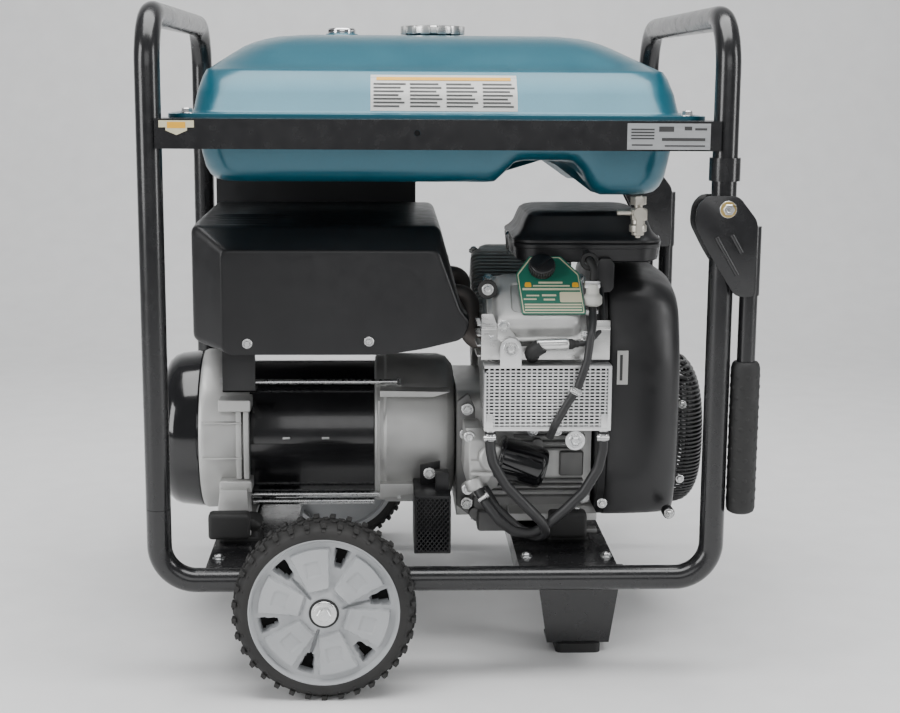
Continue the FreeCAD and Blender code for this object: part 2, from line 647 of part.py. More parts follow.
def oil_cooler():
    """Finned plate cooler: tanks at top and bottom, rows of tubes between."""
    parts = [box(COOLER_X[0], COOLER_X[1], COOLER_Y - 16, COOLER_Y + 16, COOLER_Z[0], COOLER_Z[0] + 7),
             box(COOLER_X[0], COOLER_X[1], COOLER_Y - 16, COOLER_Y + 16, COOLER_Z[1] - 7, COOLER_Z[1]),
             box(COOLER_X[0], COOLER_X[0] + 9, COOLER_Y - 16, COOLER_Y + 16, COOLER_Z[0], COOLER_Z[1]),
             box(COOLER_X[1] - 9, COOLER_X[1], COOLER_Y - 16, COOLER_Y + 16, COOLER_Z[0], COOLER_Z[1])]
    z = COOLER_Z[0] + 12
    while z < COOLER_Z[1] - 10:
        parts.append(box(COOLER_X[0] + 8, COOLER_X[1] - 8, COOLER_Y - 14, COOLER_Y + 14, z, z + 2.2))
        z += 6.6
    fin_plates = [box(x, x + 1, COOLER_Y - 10, COOLER_Y + 10, COOLER_Z[0] + 5, COOLER_Z[1] - 5)
                  for x in range(int(COOLER_X[0]) + 24, int(COOLER_X[1]) - 12, 22)]
    stubs = [rod(V(COOLER_X[0] + 9.5, COOLER_Y - 8, COOLER_Z[0] + 1), V(COOLER_X[0] + 9.5, COOLER_Y - 8, 332), 6),
             rod(V(COOLER_X[1] - 9.5, COOLER_Y - 8, COOLER_Z[0] + 1), V(COOLER_X[1] - 9.5, COOLER_Y - 8, 332), 6)]
    stay = box(140, 180, COOLER_Y + 14, -186, COOLER_Z[1] - 6, COOLER_Z[1] - 2)
    cooler = fused(parts + fin_plates + stubs + [stay])
    return largest(cooler.cut(cylinder()).cut(rocker_cover()))


ADAPTER = V(78, -150, 262)


def oil_filter():
    """Spin-on filter hanging from its adapter on the near face of the case."""
    adapter = fused([rod(ADAPTER + V(0, 0, 20), ADAPTER + V(0, -54, 20), 24),
                     rod(ADAPTER + V(-16, -36, 10), ADAPTER + V(-16, -36, -26), 8),
                     rod(ADAPTER + V(-8, -36, 10), ADAPTER + V(-8, -36, 72), 8)])
    can = spun([(0, 0), (30, 0), (32, 3), (32, 66), (27, 72), (0, 74)], V(0, 0, 0), Z_AXIS)
    can.Placement = FreeCAD.Placement(ADAPTER + V(14, -36, 28), FreeCAD.Rotation(Z_AXIS, V(0.955, -0.03, -0.275)))
    return fused([adapter, can]).cut(crankcase())


def bent_hose(points, radius, bend):
    return swept_tube(points, bend, radius)


def oil_hoses():
    """The two hoses that loop from the cooler round under the filter."""
    barb_y = COOLER_Y - 8
    left = bent_hose([V(75.5, barb_y, 331.6), V(75.5, barb_y, 296), V(120, -272, 214), V(196, -272, 196),
                      V(186, -242, 226), V(96, -222, 212)], 6.5, 13)
    right = bent_hose([V(235.5, barb_y, 331.6), V(235.5, barb_y, 262), V(150, -256, 194),
                       V(92, -246, 188), V(60, -206, 226)], 6.5, 22)
    return [left, right]


COWL_X = (242.0, 366.0)
COWL_WALL = 4.0


def cowl_wire(x, taper, floor):
    """Outline of the fan cowl at one station, narrowed and lowered by a taper."""
    half = [(150, floor), (176, 250), (184, 420), (150, 540), (60, 562)]
    points = [V(x, y * (1 - taper / 240.0), z - (taper if z > 500 else 0)) for y, z in half]
    points += [V(p.x, -p.y, p.z) for p in reversed(points)]
    return Part.makePolygon(points + [points[0]])


def blower_housing():
    """Fan cowl on the right of the engine, open behind the fan guard."""
    stations = ((COWL_X[0], 0), (300, 4), (342, 14), (COWL_X[1], 38))
    body = Part.makeLoft([cowl_wire(x, taper, 184) for x, taper in stations], True, True)
    room = Part.makeLoft([cowl_wire(x, taper + COWL_WALL, 188) for x, taper in stations], True, True)
    room = room.common(box(COWL_X[0] + COWL_WALL, COWL_X[1] - COWL_WALL, -300, 300, 0, 700))
    shaft_way = rod(V(230, 0, ENGINE_Z), V(400, 0, ENGINE_Z), 22)
    inlet = rod(V(350, 0, ENGINE_Z), V(400, 0, ENGINE_Z), 105)
    return largest(body.cut(room).cut(shaft_way).cut(inlet))


GUARD_X = (366.0, 422.0)
GUARD_R = 119.0


def fan_guard():
    """Domed grille over the fan inlet: flange, ribs round the rim, slotted face."""
    dome = along_x([(GUARD_X[0], GUARD_R - 3), (GUARD_X[0], GUARD_R), (GUARD_X[1] - 22, GUARD_R),
                    (GUARD_X[1] - 6, GUARD_R - 8), (GUARD_X[1], GUARD_R - 24), (GUARD_X[1], 0),
                    (GUARD_X[1] - 3, 0), (GUARD_X[1] - 3, GUARD_R - 25),
                    (GUARD_X[1] - 8, GUARD_R - 11), (GUARD_X[1] - 23, GUARD_R - 3)])
    slots = []
    for k in range(24):
        slot = box(GUARD_X[1] - 10, GUARD_X[1] + 2, 34, 84, -4, 4)
        slot.rotate(V(0, 0, 0), X_AXIS, 15 * k)
        slot.translate(V(0, 0, ENGINE_Z))
        slots.append(slot)
    flange = along_x([(GUARD_X[0], 106), (GUARD_X[0], GUARD_R), (GUARD_X[0] + 3, GUARD_R),
                      (GUARD_X[0] + 3, 106)])
    return dome.cut(Part.makeCompound(slots)).fuse(flange).removeSplitter()


def cooling_fan():
    """Flywheel with moulded fan blades."""
    disc = along_x([(300, 20.0), (300, 92), (306, 96), (312, 96), (312, 14.0), (300, 14.0)])
    hub = along_x([(300, 14.0), (300, 40), (352, 40), (352, 14.0)])
    blades = []
    for k in range(16):
        blade = box(310, 350, 44, 92, -1.6, 1.6)
        blade.rotate(V(330, 44, 0), X_AXIS, 24)
        blade.rotate(V(0, 0, 0), X_AXIS, 22.5 * k)
        blade.translate(V(0, 0, ENGINE_Z))
        blades.append(blade)
    return fused([disc, hub] + blades)


def air_cleaner_base():
    """Tray of the air cleaner on the carburettor."""
    tray = soft_box(116, 328, -182, 60, 574, 602, 34)
    hollow = soft_box(120, 324, -178, 56, 578, 603, 30)
    inlet = rod(V(190, -40, 570), V(190, -40, 582), 24)
    return tray.cut(hollow).cut(inlet)


def lid_shape(inset):
    """Sloping lid: each level is (z, left, right, near, far, corner)."""
    wires = []
    for z, x0, x1, y0, y1, corner in ((602.4, 114, 330, -184, 62, 36), (608, 114, 330, -184, 62, 36),
                                      (618 - inset / 2, 126, 318, -172, 50, 32),
                                      (646 - inset, 138, 306, -158, 38, 28)):
        piece = soft_box(x0 + inset, x1 - inset, y0 + inset, y1 - inset, z, z + 1, corner)
        wires.append([f for f in piece.Faces if abs(f.CenterOfMass.z - z) < 0.01][0].OuterWire)
    return Part.makeLoft(wires, True, True)


def air_cleaner_lid():
    """Domed lid held by wire clips."""
    return lid_shape(0).cut(lid_shape(3))


def carburettor():
    """Carburettor and intake elbow between the two cylinders."""
    return fused([rod(V(190, -40, 573.6), V(190, -40, 540), 23), soft_box(164, 216, -66, 4, 484, 542, 10),
                  rod(V(190, -30, 486), V(190, -30, 452), 18),
                  soft_box(120, 216, -80, 80, 430, 456, 12)]).cut(cylinder()).cut(mirrored(cylinder()))


def starter_motor():
    """Starter motor on the far side of the case."""
    return fused([rod(V(60, 176, 250), V(190, 176, 250), 32), rod(V(74, 176, 295), V(150, 176, 295), 18),
                  box(84, 140, 164, 188, 262, 296), box(153, 186, 128, 170, 234, 266)])


def muffler():
    """Silencer drum under its shield with one pipe to each head."""
    drum = soft_box(-300, 20, -196, 150, 470, 580, 46, X_AXIS)
    inside = soft_box(-298, 18, -194, 148, 472, 578, 44, X_AXIS)
    near_pipe = swept_tube([V(18, -120, 520), V(52, -120, 520), V(52, -150, 462), V(84, -150, 450)], 18, 15)
    far_pipe = swept_tube([V(18, 110, 520), V(52, 110, 520), V(52, 150, 462), V(84, 150, 450)], 18, 15)
    tail = ring(V(-299, 90, 540), V(-330, 90, 540), 14, 12)
    tail_way = rod(V(-320, 90, 540), V(-290, 90, 540), 12)
    shell = drum.cut(inside).cut(tail_way)
    whole = fused([shell, near_pipe, far_pipe, tail]).cut(cylinder()).cut(mirrored(cylinder()))
    return largest(whole)


def muffler_shield():
    """Folded cover in front of and above the silencer with a rounded lower right corner."""
    outline = [V(-348, 0, 463), V(-348, 0, 618), V(-298, 0, 634), V(18, 0, 626), V(44, 0, 560),
               V(52, 0, 500), V(40, 0, 486), V(-20, 0, 458), V(-70, 0, 450), V(-300, 0, 450)]
    body = prism([p + V(0, -240, 0) for p in outline], V(0, 400, 0))
    front_cut = prism([V(-400, -240.5, 596), V(-400, -240.5, 700), V(-400, -196, 700)], V(600, 0, 0))
    left_cut = prism([V(-349, -241, 400), V(-298, -241, 400), V(-349, -190, 400)], V(0, 0, 300))
    body = body.cut(front_cut).cut(left_cut)
    inner_outline = [V(-345, 0, 440), V(-345, 0, 615), V(-298, 0, 631), V(16, 0, 623), V(41, 0, 560),
                     V(49, 0, 500), V(49, 0, 440)]
    inner = prism([p + V(0, -237, 0) for p in inner_outline], V(0, 420, 0))
    inner_front = prism([V(-400, -240.5, 592), V(-400, -240.5, 700), V(-400, -192, 700)], V(600, 0, 0))
    inner_left = prism([V(-349, -241, 400), V(-294, -241, 400), V(-349, -186, 400)], V(0, 0, 300))
    shell = body.cut(inner.cut(inner_front).cut(inner_left))
    shell = shell.common(box(-400, 60, -300, 159, 400, 700))
    shell = shell.fuse(box(-316, -286, -236, -120, 447, 450)).removeSplitter()
    return shell.cut(muffler())


def air_outlet_guard():
    """Perforated box on the near side of the adapter, its mesh bars left solid."""
    x0, x1, z0, z1 = -30, 24, 147, 235
    case = soft_box(x0, x1, -206, -98, z0, z1, 8, Y_AXIS)
    case = case.cut(soft_box(x0 + 3, x1 - 3, -203, -97, z0 + 3, z1 - 3, 6, Y_AXIS))
    holes = []
    for i in range(3):
        for j in range(5):
            cx = x0 + 12 + 15 * i
            cz = z0 + 16 + 14 * j
            holes.append(box(cx - 4, cx + 4, -210, -200, cz - 4, cz + 4))
    return case.cut(Part.makeCompound(holes))


# ---------------------------------------------------------------- control panel on the far side
PANEL_X = (-356.0, -20.0)
PANEL_Z = (430.0, 700.0)
PANEL_Y = (250.0, 322.0)


def control_box():
    """Sheet-metal switch box facing the far side."""
    x0, x1 = PANEL_X
    case = soft_box(x0, x1, PANEL_Y[0], PANEL_Y[1], PANEL_Z[0], PANEL_Z[1], 10, Y_AXIS)
    hollow = soft_box(x0 + 2, x1 - 2, PANEL_Y[0] + 2, PANEL_Y[1] - 2, PANEL_Z[0] + 2, PANEL_Z[1] - 2, 8,
                      Y_AXIS)
    key_hole = rod(V(KEY[0], PANEL_Y[1] - 5, KEY[1]), V(KEY[0], PANEL_Y[1] + 5, KEY[1]), 9.06)
    toggle = box(BREAKER[0] - 7, BREAKER[0] + 7, PANEL_Y[1] - 5, PANEL_Y[1] + 5, BREAKER[1] - 16,
                 BREAKER[1] + 16)
    ears = [box(x0 + 10, x0 + 30, PANEL_Y[0] + 20, PANEL_Y[1] - 20, PANEL_Z[1] - 1, 742),
            box(x1 - 30, x1 - 10, PANEL_Y[0] + 20, PANEL_Y[1] - 20, PANEL_Z[1] - 1, 742)]
    ears = [e.fuse(box(e.BoundBox.XMin, e.BoundBox.XMax, PANEL_Y[0] + 20, 337, 738, 742)) for e in ears]
    bores = [rod(V(x, PANEL_Y[1] - 5, z), V(x, PANEL_Y[1] + 5, z), 24) for x, z in SOCKETS]
    return fused([case.cut(hollow)] + ears).cut(key_hole).cut(toggle).cut(Part.makeCompound(bores))


KEY = (-318.0, 640.0)
BREAKER = (-200.0, 640.0)
SOCKETS = ((-290.0, 520.0), (-190.0, 520.0), (-90.0, 520.0))


def outlet_sockets():
    """Three round outlets with recessed faces."""
    pieces = []
    for x, z in SOCKETS:
        body = rod(V(x, PANEL_Y[1] - 30, z), V(x, PANEL_Y[1] + 6, z), 24)
        body = body.fuse(rod(V(x, PANEL_Y[1], z), V(x, PANEL_Y[1] + 6, z), 30))
        body = body.cut(rod(V(x, PANEL_Y[1] - 14, z), V(x, PANEL_Y[1] + 7, z), 20))
        pieces.append(body.removeSplitter())
    return pieces


def ignition_key():
    """Key and its barrel."""
    barrel = rod(V(KEY[0], PANEL_Y[1] - 24, KEY[1]), V(KEY[0], PANEL_Y[1] + 4, KEY[1]), 9)
    bow = soft_box(KEY[0] - 2, KEY[0] + 2, PANEL_Y[1] + 3, PANEL_Y[1] + 26, KEY[1] - 11, KEY[1] + 11, 7, X_AXIS)
    return fused([barrel, bow])


def breaker_switch():
    """Rocking lever of the breaker."""
    pivot = rod(V(BREAKER[0] - 6, PANEL_Y[1] - 8, BREAKER[1]), V(BREAKER[0] + 6, PANEL_Y[1] - 8, BREAKER[1]), 6)
    blade = box(BREAKER[0] - 5, BREAKER[0] + 5, PANEL_Y[1] - 8, PANEL_Y[1] + 16, BREAKER[1] - 3, BREAKER[1] + 3)
    blade.rotate(V(BREAKER[0], PANEL_Y[1] - 8, BREAKER[1]), X_AXIS, -20)
    return fused([pivot, blade])


# ---------------------------------------------------------------- write every sub-part
save("end_hoop_left", end_hoop(-END_X))
save("end_hoop_right", end_hoop(END_X))
save("bottom_rail_near", bottom_rail())
save("bottom_rail_far", mirrored(bottom_rail()))
save("tank_rail_near", tank_rail())
save("tank_rail_far", mirrored(tank_rail()))
save("cross_member_left", cross_member(*LEFT_CROSS))
save("cross_member_right", cross_member(*RIGHT_CROSS))
save("support_legs", both_sides(support_leg()))
save("rubber_feet", both_sides(rubber_foot()))
save("vibration_mounts", [vibration_mount(x, y, w) for x, w in ((-285, 62), (200, 61)) for y in (-154, 154)])
save("wheel_brackets", both_sides(wheel_bracket()))
save("axle_shafts", both_sides(axle()))
save("axle_nuts", both_sides(axle_nut()))
save("handle_sleeves", both_sides(handle_sleeve()))
save("handle_pivot_bolts", both_sides(pivot_bolt()))
save("wheel_rim_near", wheel_rim())
save("wheel_tyre_near", wheel_tyre())
save("wheel_rim_far", mirrored(wheel_rim()))
save("wheel_tyre_far", mirrored(wheel_tyre()))
save("handle_near", handle_lever())
save("handle_grip_near", handle_grip())
save("handle_far", mirrored(handle_lever()))
save("handle_grip_far", mirrored(handle_grip()))
save("tank_upper_shell", tank_upper_shell())
save("tank_lower_shell", tank_lower_shell())
save("tank_bolts", [tank_bolt(x, y) for x in TANK_BOLT_XS for y in (-TANK_HALF_Y + 12, TANK_HALF_Y - 12)])
save("fuel_cap", fuel_cap())
save("fuel_gauge", fuel_gauge())
save("fuel_tap", fuel_tap())
save("fuel_tap_lever", fuel_tap_lever())
save("alternator_end_cover", alternator_end_cover())
save("alternator_rear_bracket", alternator_rear_bracket())
save("alternator_stator", alternator_stator())
save("alternator_front_bracket", alternator_front_bracket())
save("alternator_rods", alternator_rods())
save("alternator_rotor", alternator_rotor())
save("crankcase", crankcase())
save("crankshaft", crankshaft())
save("cylinder_near", cylinder())
save("cylinder_far", mirrored(cylinder()))
save("rocker_covers", both_sides(rocker_cover()))
save("oil_filler_cap", oil_filler_cap())
save("oil_cooler", oil_cooler())
save("oil_filter", oil_filter())
save("oil_hoses", oil_hoses())
save("blower_housing", blower_housing())
save("fan_guard", fan_guard())
save("cooling_fan", cooling_fan())
save("air_cleaner_base", air_cleaner_base())
save("air_cleaner_lid", air_cleaner_lid())
save("carburettor", carburettor())
save("starter_motor", starter_motor())
save("muffler", muffler())
save("muffler_shield", muffler_shield())
save("air_outlet_guard", air_outlet_guard())
save("control_box", control_box())
save("outlet_sockets", outlet_sockets())
save("ignition_key", ignition_key())
save("breaker_switch", breaker_switch())
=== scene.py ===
# %% [markdown]
# # A portable generator: looks built around a measured frame
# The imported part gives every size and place. This script gives each of its
# pieces a finished look: pressed sheet metal, cast aluminium, rubber and plastic.
# Lengths are in metres; MM turns the millimetres used for small details into metres.

# %% Load the frame
import bmesh
import bpy
import json
import math
from mathutils import Matrix, Vector


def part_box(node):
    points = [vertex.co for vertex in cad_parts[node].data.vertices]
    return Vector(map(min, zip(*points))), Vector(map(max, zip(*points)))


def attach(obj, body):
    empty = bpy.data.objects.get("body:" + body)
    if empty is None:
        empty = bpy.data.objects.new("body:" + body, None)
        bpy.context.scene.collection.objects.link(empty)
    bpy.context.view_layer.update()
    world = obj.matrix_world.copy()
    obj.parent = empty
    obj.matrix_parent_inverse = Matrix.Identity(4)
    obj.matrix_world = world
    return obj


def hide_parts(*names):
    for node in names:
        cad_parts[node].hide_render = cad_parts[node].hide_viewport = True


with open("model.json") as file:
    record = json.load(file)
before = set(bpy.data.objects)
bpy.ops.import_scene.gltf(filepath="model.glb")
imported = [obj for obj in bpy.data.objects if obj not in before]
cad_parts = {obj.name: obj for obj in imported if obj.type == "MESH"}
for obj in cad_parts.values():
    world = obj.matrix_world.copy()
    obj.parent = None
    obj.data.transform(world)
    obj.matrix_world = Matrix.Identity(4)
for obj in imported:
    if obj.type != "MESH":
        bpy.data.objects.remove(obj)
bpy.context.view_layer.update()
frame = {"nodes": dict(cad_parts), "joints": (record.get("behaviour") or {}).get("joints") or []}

MM = 0.001
UP, NEAR, FAR = (0, 0, 1), (0, -1, 0), (0, 1, 0)
SIDES = ((-1, "near"), (1, "far"))
print("nodes in the frame:", len(frame["nodes"]))


# %% [markdown]
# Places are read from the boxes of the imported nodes, so that every look follows
# the part if its sizes change.

# %% Places worked out from the frame
def centre_of(node):
    low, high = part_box(node)
    return (low + high) / 2


RAIL_LOW, RAIL_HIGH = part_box("tank_rail_near")
MID_X = (RAIL_LOW.x + RAIL_HIGH.x) / 2
SHAFT = centre_of("alternator_end_cover")
TUBE_R = (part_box("end_hoop_left")[1].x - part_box("end_hoop_left")[0].x) / 2


def at(x, y, z):
    """A point given in millimetres from the middle of the tube frame."""
    return Vector((MID_X + x * MM, y * MM, z * MM))


def inward(depth):
    """A step of some millimetres from the near side towards the far side."""
    return Vector((0, depth * MM, 0))


def upward(height):
    return Vector((0, 0, height * MM))


def span(node):
    """Edges of a node's box as at() takes them: left, right, near, far, bottom, top."""
    low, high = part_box(node)
    return ((low.x - MID_X) / MM, (high.x - MID_X) / MM, low.y / MM, high.y / MM, low.z / MM,
            high.z / MM)


print("frame middle x %.4f, shaft height %.3f" % (MID_X, SHAFT.z))


# %% [markdown]
# ## Materials
# Every surface is procedural. A small set of node helpers mixes noise into
# colour, roughness and bumps, using Object coordinates in metres.

# %% Node helpers for materials
def new_material(name):
    material = bpy.data.materials.new(name)
    material.use_nodes = True
    tree = material.node_tree
    shader = tree.nodes["Principled BSDF"]
    place = tree.nodes.new("ShaderNodeTexCoord")
    return material, tree, shader, place.outputs["Object"]


def noise(tree, where, scale, detail=3.0, stretch=(1, 1, 1)):
    """Noise value; stretch makes streaks along an axis."""
    mapping = tree.nodes.new("ShaderNodeMapping")
    mapping.inputs["Scale"].default_value = stretch
    tree.links.new(where, mapping.inputs["Vector"])
    node = tree.nodes.new("ShaderNodeTexNoise")
    node.inputs["Scale"].default_value = scale
    node.inputs["Detail"].default_value = detail
    tree.links.new(mapping.outputs["Vector"], node.inputs["Vector"])
    return node.outputs["Fac"]


def spread(tree, value, low, high):
    """Turns a 0 to 1 value into a range."""
    node = tree.nodes.new("ShaderNodeMapRange")
    node.inputs["From Min"].default_value = 0.3
    node.inputs["From Max"].default_value = 0.7
    node.inputs["To Min"].default_value = low
    node.inputs["To Max"].default_value = high
    tree.links.new(value, node.inputs["Value"])
    return node.outputs["Result"]


def mix_colours(tree, value, first, second):
    node = tree.nodes.new("ShaderNodeMix")
    node.data_type = "RGBA"
    for socket, colour in ((node.inputs[6], first), (node.inputs[7], second)):
        if isinstance(colour, bpy.types.NodeSocket):
            tree.links.new(colour, socket)
        else:
            socket.default_value = (*colour, 1)
    tree.links.new(value, node.inputs[0])
    return node.outputs[2]


def add_bump(tree, shader, height, strength, distance):
    bump = tree.nodes.new("ShaderNodeBump")
    bump.inputs["Strength"].default_value = strength
    bump.inputs["Distance"].default_value = distance
    tree.links.new(height, bump.inputs["Height"])
    if shader.inputs["Normal"].is_linked:
        tree.links.new(shader.inputs["Normal"].links[0].from_socket, bump.inputs["Normal"])
    tree.links.new(bump.outputs["Normal"], shader.inputs["Normal"])


print("material helpers ready")


# %% [markdown]
# One recipe covers painted, moulded and cast surfaces: two close colours, two
# roughness limits and a grain of a given size. Each material states its own values.

# %% The surface recipe
def surface(name, colour, other, rough, metallic=0.0, grain=900, bump=0.05, grain_depth=0.2,
            patches=14, coat=0.0, coat_rough=0.1, stretch=(1, 1, 1), specular=0.5):
    material, tree, shader, where = new_material(name)
    shader.inputs["Metallic"].default_value = metallic
    shader.inputs["Specular IOR Level"].default_value = specular
    shader.inputs["Coat Weight"].default_value = coat
    shader.inputs["Coat Roughness"].default_value = coat_rough
    blotches = noise(tree, where, patches, 5, stretch)
    tree.links.new(mix_colours(tree, spread(tree, blotches, 0, 1), colour, other),
                   shader.inputs["Base Color"])
    tree.links.new(spread(tree, noise(tree, where, patches * 4, 4, stretch), rough[0], rough[1]),
                   shader.inputs["Roughness"])
    add_bump(tree, shader, noise(tree, where, grain, 2, stretch), bump, grain_depth * MM)
    return material


print("surface recipe ready")


# %% [markdown]
# The tank wears a metallic teal under clear coat. The frame and sheets are black,
# from satin to glossy enamel.

# %% Paint and powder coat
def teal_tank_paint(name, colour, other):
    """Metallic teal: fine flakes under a clear coat."""
    material = surface(name, colour, other, (0.30, 0.38), metallic=0.35, grain=2500, bump=0.03,
                       patches=6, coat=0.55, coat_rough=0.16)
    tree = material.node_tree
    shader = tree.nodes["Principled BSDF"]
    where = tree.nodes["Texture Coordinate"].outputs["Object"]
    flakes = tree.nodes.new("ShaderNodeTexVoronoi")
    flakes.inputs["Scale"].default_value = 1600
    tree.links.new(where, flakes.inputs["Vector"])
    base = shader.inputs["Base Color"].links[0].from_socket
    glint = spread(tree, flakes.outputs["Distance"], 0.0, 0.25)
    bright = tuple(min(1.0, c * 2.4 + 0.01) for c in colour)
    tree.links.new(mix_colours(tree, glint, base, bright), shader.inputs["Base Color"])
    return material


PAINT = {}
PAINT["tank"] = teal_tank_paint("tank_teal", (0.002, 0.085, 0.125), (0.003, 0.095, 0.138))
# The lower half takes a darker copy of the same teal: painted shade below the rails.
PAINT["tank_low"] = teal_tank_paint("tank_teal_painted_shade", (0.002, 0.070, 0.105), (0.002, 0.078, 0.115))
PAINT["frame"] = surface("frame_powder_coat", (0.009, 0.009, 0.010), (0.013, 0.013, 0.014),
                         (0.20, 0.30), grain=1500, bump=0.10, grain_depth=0.12, coat=0.3,
                         coat_rough=0.12)
PAINT["sheet"] = surface("sheet_satin_black", (0.007, 0.007, 0.008), (0.011, 0.011, 0.012),
                         (0.32, 0.42), grain=1300, bump=0.10, grain_depth=0.12)
PAINT["enamel"] = surface("enamel_black", (0.006, 0.006, 0.007), (0.009, 0.009, 0.010),
                          (0.18, 0.26), grain=700, bump=0.04, coat=0.4, coat_rough=0.08)
print("paints:", len(PAINT))


# %% [markdown]
# Moulded parts differ mostly in roughness: glossy cover, satin housing, dull tyre.

# %% Plastics and rubber
PAINT["gloss_black"] = surface("cover_gloss_black", (0.006, 0.006, 0.007), (0.008, 0.008, 0.009),
                               (0.10, 0.16), grain=300, bump=0.03, coat=0.4, coat_rough=0.05)
PAINT["housing"] = surface("housing_black_plastic", (0.008, 0.008, 0.009), (0.012, 0.012, 0.013),
                           (0.34, 0.44), grain=1800, bump=0.14, grain_depth=0.10)
PAINT["rim"] = surface("rim_grey_plastic", (0.36, 0.37, 0.38), (0.41, 0.42, 0.43), (0.42, 0.52),
                       grain=1400, bump=0.06, grain_depth=0.12)
PAINT["rubber"] = surface("rubber_black", (0.010, 0.010, 0.010), (0.017, 0.017, 0.017),
                          (0.55, 0.70), grain=1100, bump=0.15, grain_depth=0.15)
PAINT["tyre"] = surface("tyre_rubber", (0.012, 0.012, 0.012), (0.022, 0.021, 0.020),
                        (0.62, 0.78), grain=900, bump=0.2, grain_depth=0.2)
PAINT["hose"] = surface("hose_rubber", (0.016, 0.016, 0.017), (0.022, 0.022, 0.023),
                        (0.38, 0.48), grain=700, bump=0.08, grain_depth=0.15)
PAINT["connector"] = surface("connector_white", (0.60, 0.60, 0.56), (0.52, 0.52, 0.48),
                             (0.40, 0.50), grain=500, bump=0.03)
PAINT["socket_blue"] = surface("socket_blue", (0.02, 0.07, 0.26), (0.02, 0.09, 0.30),
                               (0.35, 0.45), grain=900, bump=0.05)
print("with plastics and rubber:", len(PAINT))


# %% [markdown]
# Castings are grainy and dull, machined faces and zinc are brighter.

# %% Metals
PAINT["cast"] = surface("cast_aluminium", (0.50, 0.50, 0.49), (0.60, 0.60, 0.59), (0.42, 0.56),
                        metallic=0.75, grain=650, bump=0.30, grain_depth=0.35, patches=22)
# A darker copy of the cast aluminium, used on the ribs and bosses of the crank case.
PAINT["cast_dark"] = surface("cast_aluminium_darker", (0.15, 0.15, 0.15), (0.22, 0.22, 0.215),
                             (0.48, 0.62),
                             metallic=0.5, grain=700, bump=0.25, patches=25)
PAINT["machined"] = surface("machined_aluminium", (0.62, 0.62, 0.61), (0.70, 0.70, 0.69),
                            (0.25, 0.36), metallic=0.95, grain=500, bump=0.08,
                            stretch=(1, 1, 6))
PAINT["cooler"] = surface("cooler_bright_aluminium", (0.72, 0.73, 0.73), (0.80, 0.80, 0.80),
                          (0.30, 0.40), metallic=0.8, grain=700, bump=0.06)
PAINT["zinc"] = surface("zinc_plate", (0.60, 0.61, 0.62), (0.72, 0.72, 0.71), (0.22, 0.36),
                        metallic=1.0, grain=800, bump=0.08, patches=40)
PAINT["yellow_zinc"] = surface("yellow_zinc", (0.60, 0.42, 0.14), (0.66, 0.50, 0.22),
                               (0.25, 0.35), metallic=1.0, grain=700, bump=0.06, patches=40)
PAINT["chrome"] = surface("bright_chrome", (0.78, 0.78, 0.79), (0.84, 0.84, 0.84), (0.06, 0.14),
                          metallic=1.0, grain=400, bump=0.02)
PAINT["iron"] = surface("dark_iron", (0.10, 0.095, 0.09), (0.16, 0.14, 0.13), (0.50, 0.65),
                        metallic=0.6, grain=500, bump=0.3, grain_depth=0.3)
PAINT["tap"] = surface("tap_zinc_alloy", (0.52, 0.49, 0.43), (0.60, 0.57, 0.50), (0.34, 0.46),
                       metallic=0.85, grain=600, bump=0.2)
PAINT["dark"] = surface("shadow_black", (0.003, 0.003, 0.003), (0.004, 0.004, 0.004),
                        (0.7, 0.8), grain=500, bump=0.02, specular=0.2)
print("with metals:", len(PAINT))


# %% [markdown]
# Labels are thin sheets in a few flat colours, so that bars can stand for words.

# %% Printed labels
PAINT["paper"] = surface("label_white", (0.60, 0.60, 0.58), (0.56, 0.56, 0.54), (0.45, 0.55),
                         grain=500, bump=0.01)
PAINT["plate"] = surface("label_silver", (0.42, 0.43, 0.44), (0.50, 0.51, 0.52), (0.32, 0.42),
                         metallic=0.7, grain=700, bump=0.02, stretch=(1, 1, 12))
PAINT["ink"] = surface("label_ink", (0.03, 0.03, 0.03), (0.05, 0.05, 0.05), (0.5, 0.6),
                       grain=500, bump=0.01)
PAINT["green"] = surface("label_green", (0.010, 0.130, 0.085), (0.012, 0.150, 0.100),
                         (0.40, 0.50), grain=500, bump=0.01)
PAINT["cream"] = surface("label_cream", (0.62, 0.58, 0.40), (0.58, 0.54, 0.38), (0.45, 0.55),
                         grain=500, bump=0.01)
PAINT["amber"] = surface("label_amber", (0.80, 0.42, 0.02), (0.76, 0.38, 0.02), (0.45, 0.55),
                         grain=500, bump=0.01)
print("materials made:", len(PAINT))


# %% [markdown]
# ## Mesh helpers
# Short builders make turned pieces, bent tubes, pressed shells and plates
# directly in their place. Each returns a mesh object with outward faces.

# %% Finish a mesh as a piece of the object
def finish_mesh(name, bm, bevel=0.0, smooth_angle=35, segments=2):
    """Bevel sharp edges, smooth the rest and make the object."""
    bmesh.ops.remove_doubles(bm, verts=bm.verts, dist=0.00002)
    bmesh.ops.recalc_face_normals(bm, faces=bm.faces)
    if bevel:
        sharp = [e for e in bm.edges
                 if len(e.link_faces) == 2 and e.calc_face_angle(0) > math.radians(30)]
        bmesh.ops.bevel(bm, geom=sharp, offset=bevel * MM, segments=segments, profile=0.6,
                        affect="EDGES", clamp_overlap=True)
    limit = math.radians(smooth_angle)
    for face in bm.faces:
        face.smooth = True
    for edge in bm.edges:
        edge.smooth = len(edge.link_faces) == 2 and edge.calc_face_angle(0) < limit
    mesh = bpy.data.meshes.new(name)
    bm.to_mesh(mesh)
    bm.free()
    obj = bpy.data.objects.new(name, mesh)
    bpy.context.scene.collection.objects.link(obj)
    return obj


def dress(obj, paint, body="main_frame", replaces=()):
    """Give a piece its material, its body and the nodes it stands for."""
    if paint is not None:
        obj.data.materials.clear()
        obj.data.materials.append(PAINT[paint])
    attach(obj, body)
    if replaces:
        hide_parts(*replaces)
    return obj


def paint_all(pieces, paint):
    for piece in pieces:
        piece.data.materials.append(PAINT[paint])


